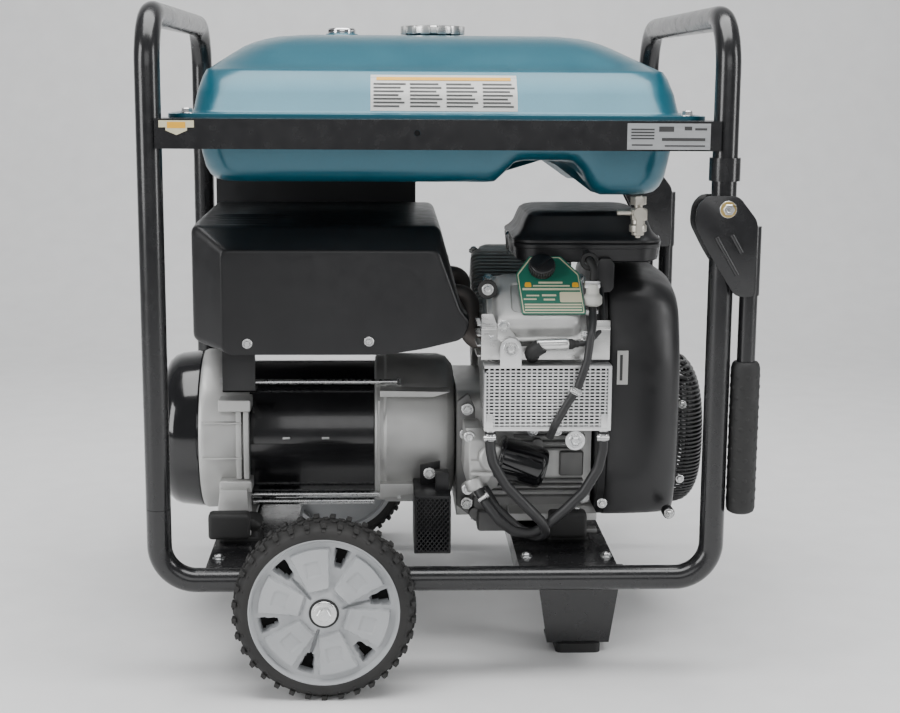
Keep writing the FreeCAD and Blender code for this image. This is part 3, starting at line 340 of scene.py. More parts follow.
def stand_in(obj, paint, node, body="main_frame"):
    """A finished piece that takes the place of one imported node."""
    return dress(obj, paint, body, [node])


def join(name, objects):
    """Several meshes made into one piece, keeping their materials."""
    bm = bmesh.new()
    materials = []
    for obj in objects:
        start = len(bm.faces)
        first_material = len(materials)
        materials += list(obj.data.materials)
        bm.from_mesh(obj.data)
        bm.faces.ensure_lookup_table()
        for face in bm.faces[start:]:
            face.material_index += first_material
        bpy.data.objects.remove(obj)
    mesh = bpy.data.meshes.new(name)
    bm.to_mesh(mesh)
    bm.free()
    for material in materials:
        mesh.materials.append(material)
    whole = bpy.data.objects.new(name, mesh)
    bpy.context.scene.collection.objects.link(whole)
    return whole


print("finishing helpers ready")


# %% [markdown]
# A turned piece is a profile of (radius, distance) spun round any axis.

# %% Turned pieces
def turn_matrix(centre, axis):
    return Matrix.Translation(centre) @ Vector(axis).to_track_quat("Z", "Y").to_matrix().to_4x4()


def add_turned(bm, profile, centre, axis, steps=64):
    """Ring by ring: profile is (radius, distance along axis) in millimetres, closed or to the axis."""
    place = turn_matrix(centre, axis)
    rings = []
    for radius, along in profile:
        if radius < 0.001:
            rings.append([bm.verts.new(place @ upward(along))])
            continue
        ring = []
        for k in range(steps):
            angle = 2 * math.pi * k / steps
            ring.append(bm.verts.new(place @ Vector((radius * MM * math.cos(angle),
                                                     radius * MM * math.sin(angle), along * MM))))
        rings.append(ring)
    for inner, outer in zip(rings, rings[1:]):
        for k in range(steps):
            a, b = inner[k % len(inner)], inner[(k + 1) % len(inner)]
            c, d = outer[(k + 1) % len(outer)], outer[k % len(outer)]
            corners = list(dict.fromkeys((a, b, c, d)))
            if len(corners) > 2:
                bm.faces.new(corners)


def turned(name, profile, centre, axis, steps=64, bevel=0.8):
    bm = bmesh.new()
    closed = profile + [profile[0]] if profile[0][0] > 0.001 else profile
    add_turned(bm, closed, centre, axis, steps)
    return finish_mesh(name, bm, bevel)


print("turned pieces ready")


# %% [markdown]
# Tubes follow a path whose corners are first rounded to a bend radius.

# %% Bent tubes, hoses and wires
def round_path(points, bend, steps=10):
    """Corners of a path replaced by arcs of the given radius."""
    path = [points[0]]
    for before, corner, after in zip(points, points[1:], points[2:]):
        back = (before - corner).normalized()
        ahead = (after - corner).normalized()
        turn = math.pi - back.angle(ahead)
        reach = min(bend * MM * math.tan(turn / 2), (before - corner).length * 0.49,
                    (after - corner).length * 0.49)
        radius = reach / math.tan(turn / 2)
        centre = corner + (back + ahead).normalized() * (radius / math.cos(turn / 2))
        arm = corner + back * reach - centre
        for k in range(steps + 1):
            path.append(centre + Matrix.Rotation(turn * k / steps, 3, ahead.cross(back)) @ arm)
    path.append(points[-1])
    return path


def skin(bm, loops):
    """Faces between neighbouring closed loops of equal count."""
    count = len(loops[0])
    for first, second in zip(loops, loops[1:]):
        for k in range(count):
            n = (k + 1) % count
            bm.faces.new((first[k], first[n], second[n], second[k]))


def close_ends(bm, loops):
    bm.faces.new(list(reversed(loops[0])))
    bm.faces.new(loops[-1])


def add_tube(bm, path, radius, sides=20):
    """Sweep a circle along a path without twist."""
    tangent = (path[1] - path[0]).normalized()
    side = tangent.orthogonal().normalized()
    rings = []
    for i, point in enumerate(path):
        ahead = path[min(i + 1, len(path) - 1)] - path[max(i - 1, 0)]
        new_tangent = ahead.normalized()
        side = (side - new_tangent * side.dot(new_tangent)).normalized()
        up = new_tangent.cross(side)
        rings.append([bm.verts.new(point + (side * math.cos(2 * math.pi * k / sides)
                                            + up * math.sin(2 * math.pi * k / sides)) * radius * MM)
                      for k in range(sides)])
    skin(bm, rings)
    close_ends(bm, rings)


def tube(name, points, radius, bend, sides=20, steps=10):
    bm = bmesh.new()
    add_tube(bm, round_path(points, bend, steps), radius, sides)
    return finish_mesh(name, bm)


print("tubes ready")


# %% [markdown]
# Plates push an outline along a vector. Pressed shells are lofted through rings.

# %% Plates, boxes and pressed shells
def add_plate(bm, outline, thickness):
    """Flat outline (list of points) pushed by a vector."""
    bottom = [bm.verts.new(p) for p in outline]
    top = [bm.verts.new(p + thickness) for p in outline]
    bm.faces.new(bottom)
    bm.faces.new(list(reversed(top)))
    count = len(outline)
    for k in range(count):
        bm.faces.new((bottom[k], bottom[(k + 1) % count], top[(k + 1) % count], top[k]))


def plate(name, outline, thickness, bevel=0.8):
    bm = bmesh.new()
    add_plate(bm, outline, thickness)
    return finish_mesh(name, bm, bevel)


def add_box(bm, low, high):
    add_plate(bm, [Vector((low.x, low.y, low.z)), Vector((high.x, low.y, low.z)),
                   Vector((high.x, high.y, low.z)), Vector((low.x, high.y, low.z))],
              Vector((0, 0, high.z - low.z)))


def block(name, low, high, bevel=2.0, segments=3):
    bm = bmesh.new()
    add_box(bm, low, high)
    return finish_mesh(name, bm, bevel, segments=segments)


def rounded_ring(x0, x1, y0, y1, corner, z_of, arc=10, side=14):
    """Points round a rounded rectangle in millimetres, the same number for every ring."""
    corner = min(corner, (x1 - x0) / 2 - 1, (y1 - y0) / 2 - 1)
    points = []
    spots = ((x1 - corner, y1 - corner, 0), (x0 + corner, y1 - corner, 90),
             (x0 + corner, y0 + corner, 180), (x1 - corner, y0 + corner, 270))
    for i, (cx, cy, start) in enumerate(spots):
        for k in range(arc + 1):
            a = math.radians(start + 90 * k / arc)
            points.append((cx + corner * math.cos(a), cy + corner * math.sin(a)))
        nx, ny, nstart = spots[(i + 1) % 4]
        ax, ay = points[-1]
        bx = nx + corner * math.cos(math.radians(nstart))
        by = ny + corner * math.sin(math.radians(nstart))
        for k in range(1, side):
            t = k / side
            points.append((ax + (bx - ax) * t, ay + (by - ay) * t))
    return [at(x, y, z_of(x, y)) for x, y in points]


def add_loft(bm, rings):
    """Skin over rings of equal count, closed at both ends."""
    loops = [[bm.verts.new(p) for p in ring] for ring in rings]
    skin(bm, loops)
    close_ends(bm, loops)
print("plates and shells ready")


# %% [markdown]
# Repeats are made with Geometry Nodes: the tree puts one small mesh on a row,
# a ring or a set of marked points, realises the copies and sets the material.
# The result is taken out as a plain mesh.

# %% Geometry Nodes: copies of one small mesh
def read_vector(nodes, attribute):
    """Node that reads a vector stored on each point."""
    node = nodes.new("GeometryNodeInputNamedAttribute")
    node.data_type = "FLOAT_VECTOR"
    node.inputs["Name"].default_value = attribute
    return node.outputs[0]


def copy_tree(name, seed_object):
    """Tree that puts the seed on every point, turned and sized as stored there."""
    tree = bpy.data.node_groups.new(name + "_tree", "GeometryNodeTree")
    tree.interface.new_socket("Geometry", in_out="INPUT", socket_type="NodeSocketGeometry")
    finish_input = tree.interface.new_socket("Finish", in_out="INPUT", socket_type="NodeSocketMaterial")
    tree.interface.new_socket("Geometry", in_out="OUTPUT", socket_type="NodeSocketGeometry")
    nodes, links = tree.nodes, tree.links
    source = nodes.new("NodeGroupInput")
    result = nodes.new("NodeGroupOutput")
    seed = nodes.new("GeometryNodeObjectInfo")
    seed.inputs["Object"].default_value = seed_object
    place = nodes.new("GeometryNodeInstanceOnPoints")
    to_rotation = nodes.new("FunctionNodeEulerToRotation")
    realise = nodes.new("GeometryNodeRealizeInstances")
    finish = nodes.new("GeometryNodeSetMaterial")
    links.new(source.outputs["Geometry"], place.inputs["Points"])
    links.new(seed.outputs["Geometry"], place.inputs["Instance"])
    links.new(read_vector(nodes, "turn"), to_rotation.inputs[0])
    links.new(to_rotation.outputs[0], place.inputs["Rotation"])
    links.new(read_vector(nodes, "size"), place.inputs["Scale"])
    links.new(place.outputs["Instances"], realise.inputs["Geometry"])
    links.new(realise.outputs["Geometry"], finish.inputs["Geometry"])
    links.new(source.outputs["Finish"], finish.inputs["Material"])
    links.new(finish.outputs["Geometry"], result.inputs["Geometry"])
    return tree, finish_input.identifier


def copies(name, seed_object, points, turns, paint, sizes=None):
    """Put a copy of the seed object on each point with its own turn and size."""
    carrier_mesh = bpy.data.meshes.new(name + "_points")
    carrier_mesh.from_pydata([tuple(p) for p in points], [], [])
    turn = carrier_mesh.attributes.new("turn", "FLOAT_VECTOR", "POINT")
    size = carrier_mesh.attributes.new("size", "FLOAT_VECTOR", "POINT")
    for i in range(len(points)):
        turn.data[i].vector = turns[i] if turns else (0, 0, 0)
        size.data[i].vector = sizes[i] if sizes else (1, 1, 1)
    carrier = bpy.data.objects.new(name + "_carrier", carrier_mesh)
    bpy.context.scene.collection.objects.link(carrier)
    modifier = carrier.modifiers.new("copies", "NODES")
    modifier.node_group, finish_key = copy_tree(name, seed_object)
    modifier[finish_key] = PAINT[paint]
    graph = bpy.context.evaluated_depsgraph_get()
    mesh = bpy.data.meshes.new_from_object(carrier.evaluated_get(graph))
    mesh.name = name
    bpy.data.objects.remove(carrier)
    bpy.data.objects.remove(seed_object)
    piece = bpy.data.objects.new(name, mesh)
    bpy.context.scene.collection.objects.link(piece)
    return piece


def facing(direction):
    """Turn that takes a seed's +Z to a direction."""
    return tuple(Vector(direction).to_track_quat("Z", "Y").to_euler())


def seed_bolt(across, head):
    """Flanged hex head standing on its washer, at the origin, pointing up."""
    washer = 1.0
    bm = bmesh.new()
    disc = across * 0.82
    add_turned(bm, [(0, -0.5), (disc, -0.5), (disc, washer - 0.3), (disc - 0.4, washer), (0, washer)],
               Vector(), UP, 24)
    corner = across / math.sqrt(3)
    add_turned(bm, [(0, 0), (corner, 0), (corner, head - 0.9), (corner * 0.86, head),
                    (corner * 0.5, head),
                    (corner * 0.42, head - 0.8), (0, head - 0.8)], Vector(), UP, 6)
    return finish_mesh("bolt_seed", bm, 0, 25)


def bolts(name, points, direction, across=10.0, head=5.5):
    """A group of bolts whose heads face one direction, or one direction each."""
    ways = direction if isinstance(direction, list) else [direction] * len(points)
    piece = copies(name, seed_bolt(across, head), points, [facing(w) for w in ways], "zinc")
    return dress(piece, None)


print("helpers ready")


# %% [markdown]
# ## Tube frame
# Two end hoops and two bottom rails are bent from one size of tube. The rails
# under the tank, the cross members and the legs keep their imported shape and
# only get softened edges.

# %% Hoops and bottom rails
HOOP_LOW, HOOP_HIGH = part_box("end_hoop_right")
END_X = (HOOP_HIGH.x - MID_X) / MM - TUBE_R / MM
SIDE_Y = HOOP_HIGH.y / MM - TUBE_R / MM
TOP_Z = HOOP_HIGH.z / MM - TUBE_R / MM
RAIL_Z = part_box("bottom_rail_near")[0].z / MM + TUBE_R / MM
BEND_TOP_Z = HOOP_LOW.z / MM
TOP_BEND = 70.0


def hoop(name, x, node):
    ends = [at(x, -SIDE_Y, BEND_TOP_Z - 0.5), at(x, -SIDE_Y, TOP_Z),
            at(x, SIDE_Y, TOP_Z), at(x, SIDE_Y, BEND_TOP_Z - 0.5)]
    piece = tube(name, ends, TUBE_R / MM, TOP_BEND, 32, 16)
    return stand_in(piece, "frame", node)


def rail(name, y, node):
    bend = BEND_TOP_Z - RAIL_Z
    ends = [at(-END_X, y, BEND_TOP_Z + 0.5), at(-END_X, y, RAIL_Z),
            at(END_X, y, RAIL_Z), at(END_X, y, BEND_TOP_Z + 0.5)]
    piece = tube(name, ends, TUBE_R / MM, bend, 32, 20)
    return stand_in(piece, "frame", node)


hoop("left_hoop_tube", -END_X, "end_hoop_left")
hoop("right_hoop_tube", END_X, "end_hoop_right")
rail("near_rail_tube", -SIDE_Y, "bottom_rail_near")
rail("far_rail_tube", SIDE_Y, "bottom_rail_far")
print("tube radius %.1f mm, hoops at x +-%.0f" % (TUBE_R / MM, END_X))


# %% [markdown]
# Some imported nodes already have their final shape. They get a material and soft edges.

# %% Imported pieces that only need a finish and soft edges
SOFT_EDGE = 0.8


def finish_node(node, paint):
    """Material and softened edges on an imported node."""
    obj = frame["nodes"][node]
    obj.data.materials.clear()
    obj.data.materials.append(PAINT[paint])
    soften = obj.modifiers.new("soft_edges", "BEVEL")
    soften.width = SOFT_EDGE * MM
    soften.segments = 2
    soften.limit_method = "ANGLE"
    soften.angle_limit = math.radians(40)
    soften.harden_normals = False


PLAIN_FINISHES = {
    "frame": ["tank_rail_near", "tank_rail_far", "cross_member_left", "cross_member_right",
              "support_legs", "wheel_brackets", "handle_sleeves"],
    "rubber": ["rubber_feet"],
    "zinc": ["axle_shafts", "alternator_rods", "crankshaft", "ignition_key"],
    "cast": ["crankcase", "cylinder_near", "cylinder_far", "rocker_covers", "carburettor",
             "cooling_fan"],
    "iron": ["muffler", "alternator_rotor"],
    "sheet": ["control_box", "starter_motor"],
    "socket_blue": ["outlet_sockets"],
    "housing": ["breaker_switch"],
}
for paint_name, node_names in PLAIN_FINISHES.items():
    for node_name in node_names:
        finish_node(node_name, paint_name)


# %% [markdown]
# ## Fuel tank
# The upper half is pressed: a flat flange, a steep wall up to a creased
# shoulder, then a long slope to the flat crown. The lower half hangs below the
# rails, arched over the air cleaner, with a sump at the right.

# %% Upper half of the tank
_, FLANGE_X, _, FLANGE_Y, FLANGE_Z, _ = span("tank_upper_shell")
CAP_LOW, CAP_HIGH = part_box("fuel_cap")
CROWN_Z = CAP_LOW.z / MM - 2.5


def upper_half():
    """Stacked rounded rectangles: (height, left, right, depth, corner)."""
    levels = [(FLANGE_Z, -FLANGE_X, FLANGE_X, FLANGE_Y, 26),
              (FLANGE_Z + 2.4, -FLANGE_X, FLANGE_X, FLANGE_Y, 26),
              (FLANGE_Z + 3, -FLANGE_X + 1, FLANGE_X - 1, FLANGE_Y - 1, 26),
              (FLANGE_Z + 3.4, -338, 338, 276, 44), (FLANGE_Z + 7, -334.5, 334.5, 272, 44),
              (FLANGE_Z + 30, -331, 331, 262, 48), (FLANGE_Z + 52, -326, 326, 240, 54),
              (843.0, -323.5, 323.5, 229, 58), (845.5, -322.5, 322.5, 226, 59),
              (847.0, -319, 319, 220, 60), (855, -309, 303, 205, 60), (868, -291, 278, 180, 60),
              (879, -275, 257, 159, 60), (885, -262, 244, 144, 60), (890, -246, 229, 128, 56),
              (893.5, -230, 214, 112, 52), (CROWN_Z, -200, 190, 84, 46),
              (CROWN_Z + 0.6, -120, 120, 46, 30)]
    rings = [rounded_ring(x0, x1, -y, y, corner, lambda x, y, z=z: z, 12, 20)
             for z, x0, x1, y, corner in levels]
    bm = bmesh.new()
    add_loft(bm, rings)
    return finish_mesh("tank_upper_pressing", bm, 0, 50)


stand_in(upper_half(), "tank", "tank_upper_shell")


# %% [markdown]
# The belly follows floor_height, and each ring is drawn in a little more than the last.

# %% Lower half of the tank
SUMP_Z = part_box("tank_lower_shell")[0].z / MM
BELLY_Z = SUMP_Z + 17


def smooth_step(t):
    t = max(0.0, min(1.0, t))
    return t * t * (3 - 2 * t)


def floor_height(x):
    """Underside of the tank along its length: belly, arch, sump."""
    arch = smooth_step((x - 76) / 40) * (1 - smooth_step((x - 186) / 38))
    sump = smooth_step((x - 200) / 30)
    return BELLY_Z + 31 * arch - 17 * sump


def lower_half():
    depth_steps = [(0.0, 0, 262, 44), (0.012, 0, 262, 44), (0.10, 1, 261, 44), (0.30, 4, 259, 44),
                   (0.55, 8, 255, 44), (0.75, 12, 249, 43), (0.88, 18, 241, 40), (0.95, 25, 232, 36),
                   (0.985, 34, 220, 30), (1.0, 48, 200, 26), (1.0, 90, 160, 22), (1.0, 150, 90, 20)]
    rings = [rounded_ring(-FLANGE_X, FLANGE_X, -FLANGE_Y, FLANGE_Y, 26, lambda x, y: FLANGE_Z, 12, 40),
             rounded_ring(-FLANGE_X, FLANGE_X, -FLANGE_Y, FLANGE_Y, 26, lambda x, y: FLANGE_Z - 2.4, 12,
                          40)]
    for t, inset, half_y, corner in depth_steps:
        def height(x, y, t=t):
            return FLANGE_Z - 2.4 - t * (FLANGE_Z - 2.4 - floor_height(x))
        rings.append(rounded_ring(-334 + inset, 334 - inset, -half_y, half_y, corner, height, 12, 40))
    bm = bmesh.new()
    add_loft(bm, rings)
    return finish_mesh("tank_lower_pressing", bm, 0, 60)


# The lower half wears the darker teal as painted shade under the rails.
stand_in(lower_half(), "tank_low", "tank_lower_shell")


# %% [markdown]
# The cap has twelve teeth round its rim. The gauge is a dial with a needle.

# %% Filler neck, cap and gauge on the crown
neck_low = CROWN_Z - 8
dress(turned("filler_neck_ring", [(26, neck_low), (36, neck_low), (35, CROWN_Z + 4), (33, CROWN_Z + 5.5),
                                  (31, CROWN_Z + 6.5), (26, CROWN_Z + 6.5)],
             Vector((MID_X, 0, 0)), UP, 64), "tank")


def fuel_cap():
    """Crenellated cap with twelve teeth round its rim."""
    low = CAP_LOW.z / MM
    high = CAP_HIGH.z / MM
    centre = Vector(((CAP_LOW.x + CAP_HIGH.x) / 2, 0, 0))
    bm = bmesh.new()
    add_turned(bm, [(0, low + 7), (34, low + 7), (34, low), (41, low), (44.5, low + 2), (44.5, high - 3),
                    (42, high - 1), (34, high), (30, high - 1), (26, high - 1.6), (0, high - 1.2)],
               centre, UP, 96)
    for k in range(12):
        angle = math.radians(15 + 30 * k)
        way = Vector((math.cos(angle), math.sin(angle), 0))
        side = Vector((-way.y, way.x, 0))
        base = centre + way * 43.5 * MM + Vector((0, 0, (low + 0.6) * MM))
        outline = [base - side * 7.5 * MM, base + side * 7.5 * MM,
                   base + side * 6.2 * MM + way * 5 * MM, base - side * 6.2 * MM + way * 5 * MM]
        add_plate(bm, outline, Vector((0, 0, (high - low - 2.2) * MM)))
    return finish_mesh("fuel_cap_body", bm, 0.9)


stand_in(fuel_cap(), "machined", "fuel_cap", "tank_cap")

GAUGE_LOW, GAUGE_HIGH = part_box("fuel_gauge")
gauge_at = Vector(((GAUGE_LOW.x + GAUGE_HIGH.x) / 2, 0, 0))
gauge_top = GAUGE_HIGH.z / MM
dress(turned("gauge_boss", [(0, CROWN_Z - 6), (27, CROWN_Z - 6), (25, CROWN_Z + 2), (23, CROWN_Z + 3.5),
                            (0, CROWN_Z + 3.5)], gauge_at, UP), "tank")
dress(turned("gauge_ring", [(17, gauge_top - 9), (21, gauge_top - 9), (21, gauge_top - 2),
                            (19.5, gauge_top), (17.5, gauge_top - 0.5), (17, gauge_top - 2.5)],
             gauge_at, UP), "chrome", replaces=["fuel_gauge"])
dress(turned("gauge_dial", [(0, gauge_top - 9), (17.2, gauge_top - 9), (17.2, gauge_top - 2.8),
                            (15, gauge_top - 2.0), (0, gauge_top - 1.4)], gauge_at, UP), "paper")
needle = [gauge_at + Vector((x * MM, y * MM, (gauge_top - 1.7) * MM))
          for x, y in ((-1.2, -5), (1.2, -5), (0.3, 12), (-0.3, 12))]
dress(plate("gauge_needle", needle, upward(0.6), 0.1), "ink")


# %% [markdown]
# One bolt at each corner of the flange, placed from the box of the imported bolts.

# %% Flange bolts of the tank
BOLT_LOW, BOLT_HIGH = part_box("tank_bolts")
bolt_x = (BOLT_HIGH.x - BOLT_LOW.x) / 2 / MM - 10
bolt_y = BOLT_HIGH.y / MM - 10
corners = [at(sx * bolt_x, sy * bolt_y, FLANGE_Z + 3.2) for sx in (-1, 1) for sy in (-1, 1)]
tank_bolts = bolts("tank_flange_bolts", corners, UP, 12, head=7)
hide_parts("tank_bolts")
print("tank from z %.0f to %.0f mm" % (SUMP_Z, CROWN_Z))

# %% [markdown]
# The tap hangs below the sump: bowl, body, stem, nut and spout in one casting.

# %% Fuel tap with its strainer bowl and lever
TAP_LOW, TAP_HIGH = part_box("fuel_tap")
tap_low = TAP_LOW.z / MM
tap_x = (TAP_HIGH.x - MID_X) / MM - 12
tap_y = (TAP_LOW.y + TAP_HIGH.y) / 2 / MM


def fuel_tap():
    foot = at(tap_x, tap_y, 0)
    parts = [
        turned("tap_bowl", [(0, tap_low), (4, tap_low), (4, tap_low + 3), (9, tap_low + 4),
                            (9, tap_low + 8),
                            (12.4, tap_low + 9), (12.4, tap_low + 18), (10, tap_low + 20),
                            (10, tap_low + 26), (0, tap_low + 26)], foot, UP, 40),
        block("tap_body", at(tap_x - 10, tap_y - 10, tap_low + 25),
              at(tap_x + 12, tap_y + 10, tap_low + 42), 3),
        turned("tap_stem", [(0, tap_low + 40), (6, tap_low + 40), (6, tap_low + 60), (0, tap_low + 60)],
               foot, UP, 32),
        turned("tap_nut", [(0, tap_low + 47), (11.5, tap_low + 47), (11.5, tap_low + 59),
                           (0, tap_low + 59)],
               foot, UP, 6),
        tube("tap_spout", [at(tap_x - 8, tap_y, tap_low + 36), at(tap_x - 30, tap_y, tap_low + 36)], 4,
             1),
    ]
    paint_all(parts, "tap")
    return join("fuel_tap_casting", parts)


stand_in(fuel_tap(), None, "fuel_tap")
finish_node("fuel_tap_lever", "tap")


# %% [markdown]
# ## Folding handles
# A pair of cheeks straddles each right-hand leg; the tube hangs down beside it
# and carries a moulded grip.

# %% Handles
PIVOT = centre_of("handle_pivot_bolts")
PIVOT_X = (PIVOT.x - MID_X) / MM
PIVOT_Z = PIVOT.z / MM
GRIP_LOW, GRIP_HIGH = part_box("handle_grip_near")
HANDLE_X = ((GRIP_LOW.x + GRIP_HIGH.x) / 2 - MID_X) / MM
CHEEK = (17.6, 20.8)


def rounded_outline(points, radius, steps=5):
    """Closed outline with every corner rounded."""
    smooth = []
    count = len(points)
    for i in range(count):
        before, corner, after = points[i - 1], points[i], points[(i + 1) % count]
        reach = min(radius * MM, (before - corner).length * 0.45, (after - corner).length * 0.45)
        start = corner + (before - corner).normalized() * reach
        end = corner + (after - corner).normalized() * reach
        for k in range(steps + 1):
            t = k / steps
            smooth.append(start.lerp(corner, t).lerp(corner.lerp(end, t), t))
    return smooth


def handle(name, side, lever_node, grip_node, body):
    """Cheeks, socket, tube and stiffening ribs of one handle."""
    y = side * SIDE_Y
    corners = [(-44, -22), (-42, 4), (-30, 18), (14, 18), (41, -16), (41, -118), (14, -118), (-26, -56)]
    outline = [at(PIVOT_X + dx, 0, PIVOT_Z + dz) for dx, dz in corners]
    parts = []
    for start in (y - CHEEK[1], y + CHEEK[0]):
        shifted = [p + inward(start) for p in rounded_outline(outline, 9)]
        parts.append(plate(name + "_cheek", shifted, inward(3.2), 0.7))
    spine = [at(PIVOT_X + 37, y - CHEEK[0] - 1, PIVOT_Z - 24),
             at(PIVOT_X + 41, y - CHEEK[0] - 1, PIVOT_Z - 24),
             at(PIVOT_X + 41, y - CHEEK[0] - 1, PIVOT_Z - 112),
             at(PIVOT_X + 37, y - CHEEK[0] - 1, PIVOT_Z - 112)]
    parts.append(plate(name + "_spine", spine, Vector((0, 2 * (CHEEK[0] + 1) * MM, 0)), 0.8))
    parts.append(tube(name + "_socket", [at(HANDLE_X, y, PIVOT_Z - 24), at(HANDLE_X, y, PIVOT_Z - 118)],
                      14.4, 5, 28))
    parts.append(tube(name + "_tube", [at(HANDLE_X, y, PIVOT_Z - 100),
                                       at(HANDLE_X, y, GRIP_HIGH.z / MM - 30)],
                      12.5, 5, 28))
    outer = y + side * (CHEEK[1] + 0.6)
    for start, end in (((-15, -37), (15, -88)), ((6, -34), (20, -58))):
        rib = [at(PIVOT_X + start[0], outer, PIVOT_Z + start[1]),
               at(PIVOT_X + end[0], outer, PIVOT_Z + end[1])]
        parts.append(tube(name + "_rib", rib, 3.4, 5, 14))
    paint_all(parts, "frame")
    stand_in(join(name + "_lever", parts), None, lever_node, body)
    low = GRIP_LOW.z / MM
    high = GRIP_HIGH.z / MM
    profile = [(0, low), (14, low), (18.5, low + 3), (20, low + 8), (20, high - 9), (18.5, high - 3),
               (16, high), (12.5, high), (12.5, high - 8), (0, high - 8)]
    grip = turned(name + "_grip_body", profile, at(HANDLE_X, y, 0), UP, 48, 0.5)
    stand_in(grip, "rubber", grip_node, body)
    seed = bmesh.new()
    add_turned(seed, [(0, 0.8), (2.6, 0.5), (4.2, -0.6)], Vector(), UP, 10)
    dimple = finish_mesh("dimple_seed", seed, 0, 80)
    spots, turns = [], []
    for row in range(13):
        for k in range(8):
            angle = 2 * math.pi * (k + 0.5 * (row % 2)) / 8
            way = Vector((math.cos(angle), math.sin(angle), 0))
            spots.append(at(HANDLE_X, y, low + 20 + row * 14.5) + way * 20 * MM)
            turns.append(facing(way))
    dress(copies(name + "_grip_knobs", dimple, spots, turns, "rubber"), None, body)


handle("near_handle", -1, "handle_near", "handle_grip_near", "near_handle")
handle("far_handle", 1, "handle_far", "handle_grip_far", "far_handle")
pivot_spots = [at(PIVOT_X, side * (SIDE_Y + CHEEK[1]), PIVOT_Z) for side in (-1, 1)]
pivots = bolts("pivot_bolt_heads", pivot_spots, [NEAR, FAR], 14, head=6.5)
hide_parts("handle_pivot_bolts")
washers = [turned("pivot_washer", [(6, 0), (11, 0), (11, 1.2), (6, 1.2)], spot, (0, side, 0), 40, 0.2)
           for side, spot in zip((-1, 1), pivot_spots)]
paint_all(washers, "yellow_zinc")
dress(join("pivot_washers", washers), None)
print("handle pivots at x %.1f z %.1f" % (PIVOT_X, PIVOT_Z))

# %% [markdown]
# ## Transport wheels
# The face of each rim is one surface whose depth is worked out point by point:
# six raised pads, six deep windows, grooves and a conical hub. The tyre carries
# shoulder blocks, smaller middle blocks and lugs over its edges.

# %% Rim face
WHEEL = centre_of("wheel_rim_near")
RIM_LOW, RIM_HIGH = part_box("wheel_rim_near")
TYRE_LOW, TYRE_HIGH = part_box("wheel_tyre_near")
RIM_R = (RIM_HIGH.x - RIM_LOW.x) / 2 / MM
TYRE_R = (TYRE_HIGH.x - TYRE_LOW.x) / 2 / MM
WHEEL_FACE = abs(RIM_LOW.y) / MM
PAD_TURN = 43.0


def angle_from(theta, centre_deg):
    """Signed angle in degrees between a direction and a marked one."""
    return (math.degrees(theta) - centre_deg + 180) % 360 - 180


def ramp(value, edge, width):
    return smooth_step((edge - abs(value)) / width + 0.5)


def rim_depth(r, theta):
    """How far the rim face lies inside the outermost plane, in millimetres."""
    depth = 11.0
    depth -= 9.0 * smooth_step((r - 97) / 4)
    depth -= 8.5 * (1 - smooth_step((r - 16) / 28))
    nearest = min((angle_from(theta, PAD_TURN + 60 * k) for k in range(6)), key=abs)
    across = r * math.sin(math.radians(nearest))
    along = r * math.cos(math.radians(nearest))
    half = 15.0 + (along - 34) * 0.23
    pad = ramp(across, half, 1.6) * smooth_step((along - 30) / 3) * (1 - smooth_step((r - 88) / 2))
    depth -= 6.5 * pad
    inner = ramp(across, 10.5,
                 1.0) * smooth_step((along - 51) / 1.0) * (1 - smooth_step((along - 71) / 1.0))
    depth += 1.6 * inner
    gap = min((angle_from(theta, PAD_TURN + 30 + 60 * k) for k in range(6)), key=abs)
    gap_across = r * math.sin(math.radians(gap))
    window = ramp(gap_across, 3.0 + (r - 58) * 0.24, 2.0) * smooth_step((r - 63) / 2.5)
    window *= 1 - smooth_step((r - 88) / 2.5)
    depth += 16.0 * window
    cut = min((angle_from(theta, PAD_TURN + 90 + 120 * k) for k in range(3)), key=abs)
    cut_across = r * math.sin(math.radians(cut))
    groove = ramp(cut_across, 1.8, 1.2) * smooth_step((r - 24) / 2) * (1 - smooth_step((r - 62) / 3))
    return depth + 6.0 * groove, window > 0.85


def rim_face(name, side):
    """Fine polar grid of the rim face with its windows, painted shade on their floors, and the barrel
    behind it.
    """
    bm = bmesh.new()
    centre = Vector((WHEEL.x, 0, WHEEL.z))
    radii = [9 + (RIM_R - 1.5 - 9) * k / 66 for k in range(67)]
    steps = 264
    grid, dark = [], []
    for r in radii:
        ring, ring_dark = [], []
        for k in range(steps):
            theta = 2 * math.pi * k / steps
            depth, deep = rim_depth(r, theta)
            ring.append(bm.verts.new(centre + Vector((r * MM * math.cos(theta),
                                                      side * (WHEEL_FACE - depth) * MM,
                                                      r * MM * math.sin(theta)))))
            ring_dark.append(deep)
        grid.append(ring)
        dark.append(ring_dark)
    for i in range(len(radii) - 1):
        for k in range(steps):
            n = (k + 1) % steps
            face = bm.faces.new((grid[i][k], grid[i][n], grid[i + 1][n], grid[i + 1][k]))
            # Faces deep in the windows take the flat black: painted shade inside the openings.
            face.material_index = 1 if dark[i][k] and dark[i + 1][n] else 0
    back = side * (abs(RIM_HIGH.y) / MM + 1) * MM
    loops = [grid[-1]]
    for r, y in ((RIM_R - 1.5, back), (RIM_R - 8, back), (RIM_R - 8, side * (WHEEL_FACE - 34) * MM),
                 (9, side * (WHEEL_FACE - 34) * MM)):
        loops.append([bm.verts.new(centre + Vector((r * MM * math.cos(2 * math.pi * k / steps), y,
                                                    r * MM * math.sin(2 * math.pi * k / steps))))
                      for k in range(steps)])
    loops.append(grid[0])
    skin(bm, loops)
    obj = finish_mesh(name, bm, 0, 50)
    obj.data.materials.append(PAINT["rim"])
    obj.data.materials.append(PAINT["dark"])
    return obj


# %% [markdown]
# The carcass is turned. Its tread is four rings of copied blocks and the lugs beside them.

